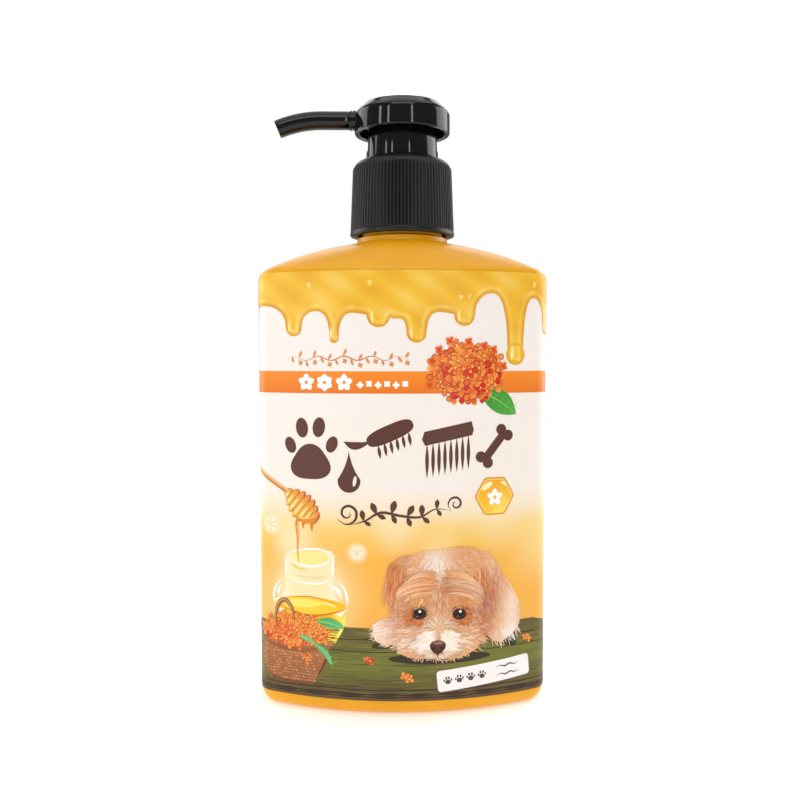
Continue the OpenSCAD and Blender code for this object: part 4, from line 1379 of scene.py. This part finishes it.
patch(bm, basket, wicker_ink, 0.1, 1.5)
strokes = []
for row in range(15):
    z = 8.7 + 0.78 * row
    left = -38.6 - (0.5 if row > 3 else -0.6 * (3 - row))
    right = -23.2 + 0.33 * row
    count = 15
    for k in range(count):
        x = left + (right - left) * (k + 0.5 * (row % 2)) / count
        wide = (right - left) / count
        tone = ink(214, 148, 96).lerp(ink(158, 94, 54), dice.uniform(0.0, 0.9))
        strokes.append((bowed((x, z - 0.012 * (x + 30) ** 2 * 0.15),
                              (x + wide * 0.95, z - 0.012 * (x + 29) ** 2 * 0.15), -0.1, 6),
                        taper(0.3, 6, 0.5, 0.08), shaded(tone, tone * 0.72, 6), 0.12 + 0.001 * (k % 2)))
ribbons(bm, strokes)
ribbons(bm, [pen(points, width, 0.14, 0.5, colour) for points, width, colour in (
    ([(-39.2, 18.2), (-33.0, 16.8), (-26.0, 16.8), (-19.2, 18.6)], 0.62, ink(148, 88, 50)),
    ([(-38.0, 9.2), (-31.0, 7.9), (-23.8, 8.2)], 0.4, ink(122, 70, 40)),
    ([(-19.0, 18.8), (-21.0, 13.6), (-23.4, 9.0)], 0.34, ink(112, 62, 36)))])
strokes, hearts = flower_heap((-29.4, 21.8), 9.6, 4.2, 62, 1.35, 0.15, 0.35)
extra, extra_hearts = flower_heap((-25.8, 14.4), 1.5, 1.4, 4, 1.0, 0.15, 0.35)
ribbons(bm, strokes + extra)
ribbons(bm, hearts + extra_hearts)
HANDLE = [(-34.2, 20.8), (-34.9, 24.8), (-33.9, 28.4), (-32.0, 29.6), (-29.9, 27.4), (-29.2, 23.4)]
ribbons(bm, [pen(HANDLE, 0.62, 0.24, 0.5, ink(150, 92, 52)), pen([(x - 0.15, z + 0.15) for x, z in HANDLE],
                                                                 0.2, 0.25, 0.5,
             ink(206, 146, 96))])
leaf_shape((-23.2, 24.8), (-15.4, 23.4), 0.9, 1.6, 0.26, ink(40, 140, 74), ink(96, 190, 120))
leaf_shape((-28.2, 20.6), (-23.4, 18.8), 0.5, 0.9, 0.26, ink(60, 150, 84), ink(120, 200, 132))
leaf_shape((-25.0, 19.2), (-18.6, 12.4), -0.6, 2.2, 0.26, ink(44, 144, 78), ink(110, 196, 126))
finish_print(bm, "print_basket")

# %% [markdown]
# ## The puppy
# The puppy is painted as fur. Soft ellipses say which colour lies where: tan ears and
# brows, a cream blaze and muzzle, and russet round the eyes. Each hair takes the
# colour of the spot where it grows, and follows a flow that parts at the crown and
# at the bridge of the nose. Hairs that grow further out are laid first, so the
# nearer ones overlap them.

# %% Puppy's base shapes
CREAM_FUR, RUSSET, DEEP_FUR = ink(252, 236, 218), ink(184, 88, 38), ink(140, 68, 34)
FUR_SPOTS = [  # run, height, half width, half height, colour, strength
    (-2.2, 35.5, 3.0, 6.4, ink(224, 136, 76), 1.0), (-4.4, 37.0, 1.0, 4.4, ink(244, 182, 124), 0.6),
    (0.9, 35.4, 0.9, 6.0, DEEP_FUR, 0.75), (22.8, 32.2, 2.9, 7.6, ink(210, 116, 60), 1.0),
    (20.7, 31.6, 0.8, 6.4, ink(126, 60, 30), 0.85), (24.8, 31.0, 0.7, 5.0, ink(150, 76, 40), 0.5),
    (17.6, 40.6, 4.4, 3.8, ink(240, 188, 138), 0.9), (22.4, 40.4, 2.6, 2.6, ink(248, 220, 188), 0.8),
    (3.2, 41.0, 2.4, 2.6, ink(240, 190, 146), 0.8), (8.6, 40.4, 4.2, 5.0, ink(254, 248, 242), 1.0),
    (2.6, 33.0, 4.8, 3.2, ink(243, 188, 126), 0.95), (15.8, 33.4, 5.0, 3.6, ink(240, 176, 112), 0.95),
    (9.3, 32.2, 1.6, 4.2, ink(222, 134, 72), 0.9), (2.0, 27.2, 4.6, 2.0, RUSSET, 1.0),
    (16.6, 26.8, 4.9, 2.1, RUSSET, 1.0), (0.4, 25.2, 2.8, 1.5, ink(206, 106, 50), 0.8),
    (19.0, 24.8, 2.5, 1.7, ink(204, 106, 52), 0.8), (6.6, 26.8, 1.2, 1.8, ink(198, 104, 52), 0.8),
    (11.7, 26.4, 1.2, 1.8, ink(198, 104, 52), 0.8), (9.0, 24.2, 2.5, 3.6, ink(250, 234, 220), 0.95),
    (3.4, 20.4, 5.4, 3.5, ink(252, 238, 222), 1.0), (14.4, 20.0, 5.7, 3.5, ink(252, 234, 212), 1.0),
    (-2.0, 23.4, 1.5, 3.6, ink(232, 158, 98), 0.9), (20.6, 21.4, 1.5, 3.4, ink(226, 150, 92), 0.9),
    (9.0, 15.4, 9.0, 0.9, ink(232, 196, 156), 0.8), (28.4, 29.0, 3.4, 7.4, ink(252, 236, 216), 1.0),
    (26.0, 34.5, 1.3, 4.0, ink(240, 186, 134), 0.6), (28.0, 21.5, 4.2, 3.4, ink(254, 247, 240), 1.0),
    (-5.6, 22.8, 4.6, 4.0, ink(254, 245, 236), 1.0)]


FUR_DEPTH = 1.45


def fur_ink(x, z):
    colour = ink(236, 184, 130)
    for run, height, wide, tall, tint, strength in FUR_SPOTS:
        near = ((x - run) / wide) ** 2 + ((z - height) / tall) ** 2
        colour = colour.lerp(tint, strength * math.exp(-near * 1.2))
    return Vector([channel ** FUR_DEPTH for channel in colour])


HEAD_LINE = [(1.7, 42.8), (-1.4, 42.2), (-3.2, 40.8), (-4.6, 37.8), (-5.0, 34.4), (-5.0, 31.6),
             (-4.2, 29.6), (-2.8, 28.6),
             (-3.0, 26.4), (-3.0, 24.0), (-2.6, 21.6), (-2.0, 19.0), (-0.9, 16.9), (1.2, 16.0), (3.6,
                                                                                                 15.6), (6.9, 15.6),
             (9.2, 15.0), (11.6, 14.9), (14.2, 15.4), (16.8, 16.2), (19.4, 17.6), (20.8, 19.6), (21.6,
                                                                                                 21.8), (22.4, 23.6),
             (24.2, 25.0), (25.6, 27.6), (26.4, 30.6), (27.0, 34.1), (26.4, 37.4), (24.9, 40.1), (22.6,
                                                                                                  42.4), (19.6, 43.6),
             (16.9, 44.4), (14.4, 44.8), (11.6, 44.4), (9.4, 44.2), (7.2, 43.8), (4.6, 43.6)]
BACK_LINE = [(24.0, 39.6), (27.6, 35.6), (29.4, 32.6), (31.2, 30.0), (32.2, 27.0), (31.9, 24.6),
             (31.2, 22.4), (29.4, 20.4),
             (26.2, 18.6), (24.0, 19.0), (22.4, 20.6), (20.0, 24.0), (20.0, 34.0)]
PAW_LINE = [(-2.2, 19.4), (-5.0, 19.2), (-7.2, 20.2), (-8.2, 22.0), (-8.0, 24.0), (-6.8, 25.6),
            (-4.8, 26.5), (-2.4, 26.4)]
bm = new_print()
ribbons(bm, [disc((9.5, 15.6), 1.5, 13.5, ink(58, 46, 30), ink(58, 46, 30), 0.085, 90, 24),
             disc((26.4, 19.0), 1.1, 4.6, ink(58, 50, 32), ink(58, 50, 32), 0.085, 75, 24),
             disc((-4.4, 19.2), 0.9, 4.0, ink(60, 52, 32), ink(60, 52, 32), 0.085, 95, 24)])
for outline in (BACK_LINE, PAW_LINE, HEAD_LINE):
    patch(bm, outline, fur_ink, 0.1 if outline is not HEAD_LINE else 0.115, 1.2)


# %% Puppy's fur
def inside(outline, x, z):
    crossings = 0
    for (ax, az), (bx, bz) in zip(outline, outline[1:] + outline[:1]):
        if (az > z) != (bz > z) and x < ax + (z - az) / (bz - az) * (bx - ax):
            crossings += 1
    return crossings % 2 == 1


def hair_flow(x, z):
    """Which way a hair lies on the head."""
    if x < -0.2 and z > 28.5:
        return Vector((-0.3, -1))
    if x > 21.2 and z > 24:
        return Vector((0.22, -1))
    if z > 28.5:
        return Vector(((x - 9.6) * 1.0, -(46.5 - z) * 0.85))
    if z > 25:
        return Vector(((x - 9.2) * 1.1, -1.8))
    return Vector(((x - 8.8) * 1.0, (z - 23.5) * 0.85))


def hair_length(z):
    """Hairs are short on the chin, the paws and beside the eyes."""
    if z < 18.5:
        return 0.42
    return 0.55 if 25 < z < 29 else 1.0


def hairs(outline, flow, count, lift, length, crown, rows=5, thick=0.11):
    """Hairs rooted in an outline, the ones furthest from the crown laid first."""
    xs, zs = [p[0] for p in outline], [p[1] for p in outline]
    roots = []
    while len(roots) < count:
        x, z = dice.uniform(min(xs), max(xs)), dice.uniform(min(zs), max(zs))
        if inside(outline, x, z):
            roots.append((-math.hypot((x - crown[0]) * 0.8, z - crown[1]), x, z))
    strokes = []
    for k, (_, x, z) in enumerate(sorted(roots)):
        way = flow(x, z).normalized()
        way.rotate(Matrix.Rotation(math.radians(dice.gauss(0, 13)), 2))
        long = length * dice.uniform(0.6, 1.35) * hair_length(z)
        tip = (x + way.x * long, z + way.y * long)
        shade = fur_ink(x, z)
        light = dice.uniform(-0.4, 0.3)
        shade = shade.lerp(ink(255, 246, 232), light) if light > 0 else shade.lerp(RUSSET,
                                                                                   -light * (1 - shade.z * 0.8))
        strokes.append((bowed((x, z), tip, dice.uniform(-0.16, 0.16) * long, rows),
                        taper(thick * dice.uniform(0.6, 1.4), rows, 0.4),
                        shaded(shade * 0.9, shade.lerp(ink(255, 244, 226), 0.2), rows), lift + 0.00006 * k))
    return strokes


ribbons(bm, hairs(BACK_LINE, lambda x, z: Vector((0.55, -1)), 420, 0.13, 2.2, (22, 38)))
ribbons(bm, hairs(PAW_LINE, lambda x, z: Vector((-1, -0.35)), 170, 0.13, 1.2, (-2, 24)))
ribbons(bm, hairs(HEAD_LINE, hair_flow, 2600, 0.15, 2.3, (9.3, 25)))
locks = []
for side in (-1, 1):
    for k in range(90):
        t = dice.random()
        root = (9.4 + side * dice.uniform(0.0, 2.6), 38.6 - 6.6 * t + dice.uniform(-0.5, 0.5))
        tip = (9.4 + side * (5.2 + 6.4 * math.sin(0.5 + t * 1.9)), 35.4 - 5.4 * t + dice.uniform(-0.5, 0.5))
        tone = fur_ink(*tip).lerp(dice.choice([ink(252, 222, 176), ink(214, 132, 70), ink(240, 186, 126)]),
                                  0.55)
        locks.append((bowed(root, tip, -side * dice.uniform(0.7, 1.4), 8),
                      taper(dice.uniform(0.1, 0.22), 8, 0.5),
                      shaded(tone.lerp(RUSSET, 0.15), tone.lerp(CREAM_FUR, 0.25), 8), 0.32 + 0.0002 * k))
    for k in range(46):
        ear = (-0.6, 41.0) if side < 0 else (20.4, 40.4)
        root = (ear[0] + dice.uniform(-2.4, 1.2), ear[1] - dice.uniform(0, 7.5))
        tip = (root[0] + (-1.6 if side < 0 else 1.6) * dice.random(), root[1] - dice.uniform(3.2, 5.4))
        tone = fur_ink(*root).lerp(dice.choice([DEEP_FUR, ink(236, 158, 96), ink(196, 98, 48)]), 0.5)
        if tip[1] > 28:
            locks.append((bowed(root, tip, side * -0.4, 8), taper(dice.uniform(0.1, 0.2), 8, 0.4),
                          shaded(tone, tone.lerp(ink(246, 186, 130), 0.3), 8), 0.31 + 0.0002 * k))
for side in (-1, 1):
    eye = (9.2 + side * 5.3, 27.2)
    for k in range(110):
        root = (eye[0] + side * dice.uniform(-1.6, 2.4), eye[1] + dice.uniform(-2.6, 1.4))
        tip = (root[0] + side * dice.uniform(0.4, 2.0), root[1] - dice.uniform(0.3, 1.4))
        tone = ink(168, 84, 40).lerp(ink(216, 132, 72), dice.random())
        locks.append((bowed(root, tip, -side * 0.2, 8), taper(dice.uniform(0.1, 0.2), 8, 0.45),
                      shaded(tone, tone * 1.1, 8), 0.33 + 0.0001 * k))
    for k in range(150):
        root = (8.8 + side * dice.uniform(0.4, 3.6), 21.6 - dice.uniform(-1.6, 3.0))
        tip = (root[0] + side * dice.uniform(1.4, 3.6), root[1] - dice.uniform(0.2, 2.2))
        tone = ink(255, 248, 240).lerp(ink(244, 218, 188), dice.random())
        if tip[1] > 15.6:
            locks.append((bowed(root, tip, side * 0.3, 8), taper(dice.uniform(0.1, 0.22), 8, 0.45),
                          shaded(tone, tone * 0.95, 8), 0.31 + 0.0001 * k))
ribbons(bm, locks)

# %% Puppy's eyes, nose and mouth
EYES = [(3.9, 27.5), (14.5, 27.1)]
features = []
for x, z in EYES:
    features += [disc((x, z), 1.95, 1.5, ink(98, 46, 24), ink(84, 38, 20), 0.345, 0, 16),
                 disc((x, z), 1.5, 1.4, ink(34, 18, 14), ink(26, 14, 12), 0.35, 0, 16),
                 disc((x, z - 0.3), 1.15, 0.95, ink(74, 40, 26), ink(26, 14, 12), 0.355, 0, 16),
                 disc((x, z), 0.7, 0.7, ink(8, 6, 8), ink(8, 6, 8), 0.36, 0, 16),
                 disc((x + 0.15, z + 0.62), 0.34, 0.36, WHITE, WHITE, 0.365, 0, 16),
                 disc((x - 0.5, z - 0.6), 0.3, 0.16, ink(150, 110, 90), ink(120, 84, 66), 0.362, 0, 16)]
ribbons(bm, features)
nose = [(6.6, 19.2), (7.1, 20.0), (8.0, 20.35), (9.4, 20.35), (10.4, 20.0), (10.9, 19.2), (10.7, 18.2),
        (9.9, 17.3),
        (9.1, 16.8), (8.4, 16.8), (7.6, 17.3), (6.8, 18.2)]
patch(bm, nose, lambda x, z: ink(66, 32, 28).lerp(ink(112, 66, 58), min(max((z - 18.4) / 2, 0), 1)), 0.35)
ribbons(bm, [disc((8.8, 19.7), 0.35, 1.3, ink(160, 118, 108), ink(150, 108, 98), 0.36, 90),
             disc((7.7, 18.4), 0.42, 0.34, ink(24, 12, 12), ink(24, 12, 12), 0.36, 25),
             disc((9.8, 18.4), 0.42, 0.34, ink(24, 12, 12), ink(24, 12, 12), 0.36, -25)])
ribbons(bm, [pen([(8.75, 16.9), (8.75, 16.3), (8.7, 15.8)], 0.14, 0.35, 0.5, ink(110, 70, 56)),
             pen([(8.7, 15.9), (7.4, 15.4), (5.8, 15.7)], 0.14, 0.35, 0.5, ink(140, 96, 76)),
             pen([(8.7, 15.9), (10.2, 15.3), (12.0, 15.5)], 0.14, 0.35, 0.5, ink(140, 96, 76)),
             pen([(1.6, 28.2), (3.0, 29.3), (5.0, 29.2), (6.4, 27.8)], 0.2, 0.35, 0.5, ink(110, 54, 28)),
             pen([(12.2, 27.8), (13.6, 29.0), (15.6, 28.9), (17.0, 27.8)], 0.2, 0.35, 0.5,
                 ink(110, 54, 28))])
brow = []
for x, z in EYES:
    for k in range(26):
        t = k / 25
        out = -1 if x < 9 else 1
        root = (x - 2.6 + 5.2 * t, z + 4.2 + dice.uniform(-0.9, 0.9))
        tip = (root[0] + out * dice.uniform(0.4, 1.5), z + 1.1 + 0.7 * abs(2 * t - 1) + dice.uniform(-0.3,
                                                                                                     0.7))
        tone = fur_ink(root[0], root[1] + 1.5).lerp(dice.choice([ink(250, 216, 170), ink(206, 120, 62)]),
                                                    dice.uniform(0, 0.5))
        brow.append((bowed(root, tip, 0.3 * out, 6), taper(dice.uniform(0.08, 0.16), 6, 0.45),
                     shaded(tone, tone * 0.85, 6),
                     0.375 + 0.0003 * k))
for k in range(130):
    a = math.radians(dice.uniform(195, 345))
    root = (8.75 + 2.2 * math.cos(a), 18.4 + 1.9 * math.sin(a))
    long = dice.uniform(1.4, 3.0)
    tip = (root[0] + long * math.cos(a), root[1] + 0.6 * long * math.sin(a))
    if tip[1] > 14.7:
        tone = ink(246, 226, 206).lerp(ink(214, 170, 132), dice.uniform(0, 0.7))
        brow.append((bowed(root, tip, 0.12 * long, 6), taper(0.1, 6, 0.4), shaded(tone * 0.9, tone, 6),
                     0.33 + 0.0001 * k))
ribbons(bm, brow)
finish_print(bm, "print_puppy")

# %% Fallen flowers and the white tag
bm = new_print()
fallen, fallen_hearts = [], []
for place, size, warm in (((-9.2, 15.0), 1.0, -0.3), ((0.9, 10.4), 1.25, 0.4), ((34.0, 18.6), 1.05, 0.4)):
    strokes, hearts = flower_heap(place, 0.9, 0.9, 2, size, 0.1, warm)
    fallen += strokes + [petal(place, 160 if place[0] < 30 else 40, size * 1.9, 0.08, ink(150, 120, 50),
                               ink(190, 160, 70), 0.12)]
    fallen_hearts += hearts
ribbons(bm, fallen)
ribbons(bm, fallen_hearts)
finish_print(bm, "print_fallen_flowers")


def rounded_box(left, low, right, high, corner, lean=0.0, pivot=(0, 0)):
    """A rounded rectangle, turned by lean degrees about a pivot."""
    outline = (arc((right - corner, high - corner), corner, 0, 90, 5) + arc((left + corner, high - corner),
                                                                            corner, 90, 180, 5)
               + arc((left + corner, low + corner), corner, 180, 270,
                     5) + arc((right - corner, low + corner), corner, 270, 360, 5))
    turn = math.radians(lean)
    return [(pivot[0] + (x - pivot[0]) * math.cos(turn) - (z - pivot[1]) * math.sin(turn),
             pivot[1] + (x - pivot[0]) * math.sin(turn) + (z - pivot[1]) * math.cos(turn)) for x, z in outline]


def paw_mark(centre, size, colour, lift, lean=0):
    """A small paw: one pad and four toes."""
    turn = math.radians(lean)
    marks = [disc(centre, size * 0.55, size * 0.45, colour, colour, lift, lean, 12)]
    for x, z, big in ((-0.72, 0.35, 0.2), (-0.28, 0.78, 0.23), (0.28, 0.78, 0.23), (0.72, 0.35, 0.2)):
        place = (centre[0] + size * (x * math.cos(turn) - z * math.sin(turn)),
                 centre[1] + size * (x * math.sin(turn) + z * math.cos(turn)))
        marks.append(disc(place, size * big * 0.85, size * big * 1.2, colour, colour, lift, lean, 12))
    return marks


bm = new_print()
TAG_TILT, TAG_MIDDLE = 5.5, (21.6, 10.6)
TAG_WHITE, TAG_INK = ink(248, 240, 238), ink(96, 72, 66)
patch(bm, rounded_box(8.6, 7.8, 34.6, 13.4, 0.9, TAG_TILT, TAG_MIDDLE), TAG_WHITE, 0.1)


def on_tag(x, z):
    turn = math.radians(TAG_TILT)
    return (TAG_MIDDLE[0] + x * math.cos(turn) - z * math.sin(turn),
            TAG_MIDDLE[1] + x * math.sin(turn) + z * math.cos(turn))


marks = []
for k in range(4):
    marks += paw_mark(on_tag(-10.2 + 3.1 * k, -0.4), 1.35, TAG_INK, 0.12, TAG_TILT)
ribbons(bm, marks)
ribbons(bm, [pen([on_tag(3.0, z), on_tag(4.4, z + 0.4), on_tag(5.8, z), on_tag(7.2, z + 0.4),
                  on_tag(8.6, z),
                  on_tag(10.0, z + 0.4)], 0.2, 0.12, 0.5, TAG_INK) for z in (0.9, -1.3)])
finish_print(bm, "print_tag")

# %% [markdown]
# ## The back panel
# The back of such a bottle is a plain panel of directions. Here it is a cream panel
# with four round pictures in a row and blank rules, so nothing on it is a word.

# %% Back panel
bm = new_print()
BACK = HALF_GIRTH
patch(bm, rounded_box(BACK - 30, 30, BACK + 30, 79, 2.5), ink(250, 244, 236), 0.04, 1.5)
patch(bm, rounded_box(BACK - 28.4, 31.6, BACK + 28.4, 77.4, 1.6), ink(245, 233, 214), 0.05, 1.5)
patch(bm, rounded_box(BACK - 28.0, 32.0, BACK + 28.0, 77.0, 1.4), ink(251, 246, 239), 0.06, 1.5)
patch(bm, rounded_box(BACK - 26, 71.4, BACK + 26, 75.4, 1.2), BAND_ORANGE, 0.07, 1.5)
for k in range(4):
    middle = BACK - 19.5 + 13 * k
    patch(bm, ring_outline((middle, 63), 5, 5, 0), ink(246, 206, 120), 0.07, 1.2)
    patch(bm, ring_outline((middle, 63), 4.5, 4.5, 0), ink(252, 240, 214), 0.08, 1.2)
ribbons(bm, paw_mark((BACK + 19.5, 62.4), 2.6, COCOA, 0.1))
ribbons(bm, [pen([(BACK + 6.5, 66.2), (BACK + 4.6, 62.6), (BACK + 6.5, 60.2), (BACK + 8.4, 62.6),
                  (BACK + 6.5, 66.2)], 0.4, 0.1),
             pen([(BACK - 9.8, 62), (BACK - 6.5, 64.6), (BACK - 3.2, 62)], 0.6, 0.1),
             pen([(BACK - 9.0, 60.6), (BACK - 6.5, 62), (BACK - 4.0, 60.6)], 0.4, 0.1)])
ribbons(bm, blossom((BACK - 19.5, 63), 3.2, 5, RUST, ORANGE, 0.1, 90))
rules = []
for k in range(9):
    z = 54.6 - 2.3 * k
    rules.append((bowed((BACK - 25, z), (BACK + (25 if k % 3 != 2 else 8), z), 0, 30), [0.18] * 31,
                  [ink(206, 180, 156)] * 31,
                  0.08))
ribbons(bm, rules)
ribbons(bm, [stroke for k in range(9) for stroke in blossom((BACK - 26.4, 54.6 - 2.3 * k), 0.5, 4, ORANGE,
                                                            ORANGE, 0.08)])
finish_print(bm, "print_back_panel")

# %% Floor
bm = bmesh.new()
bmesh.ops.create_grid(bm, x_segments=1, y_segments=1, size=0.5)
floor_mesh = bpy.data.meshes.new("studio_floor")
bm.to_mesh(floor_mesh)
bm.free()
floor = bpy.data.objects.new("studio_floor", floor_mesh)
bpy.context.collection.objects.link(floor)
floor_paint, _, _ = new_material(
    "floor_paint", Base_Color=(0.9, 0.9, 0.9, 1), Roughness=0.7, Emission_Color=(1, 1, 1,
                                                                                 1), Emission_Strength=0.34)
floor_mesh.materials.append(floor_paint)
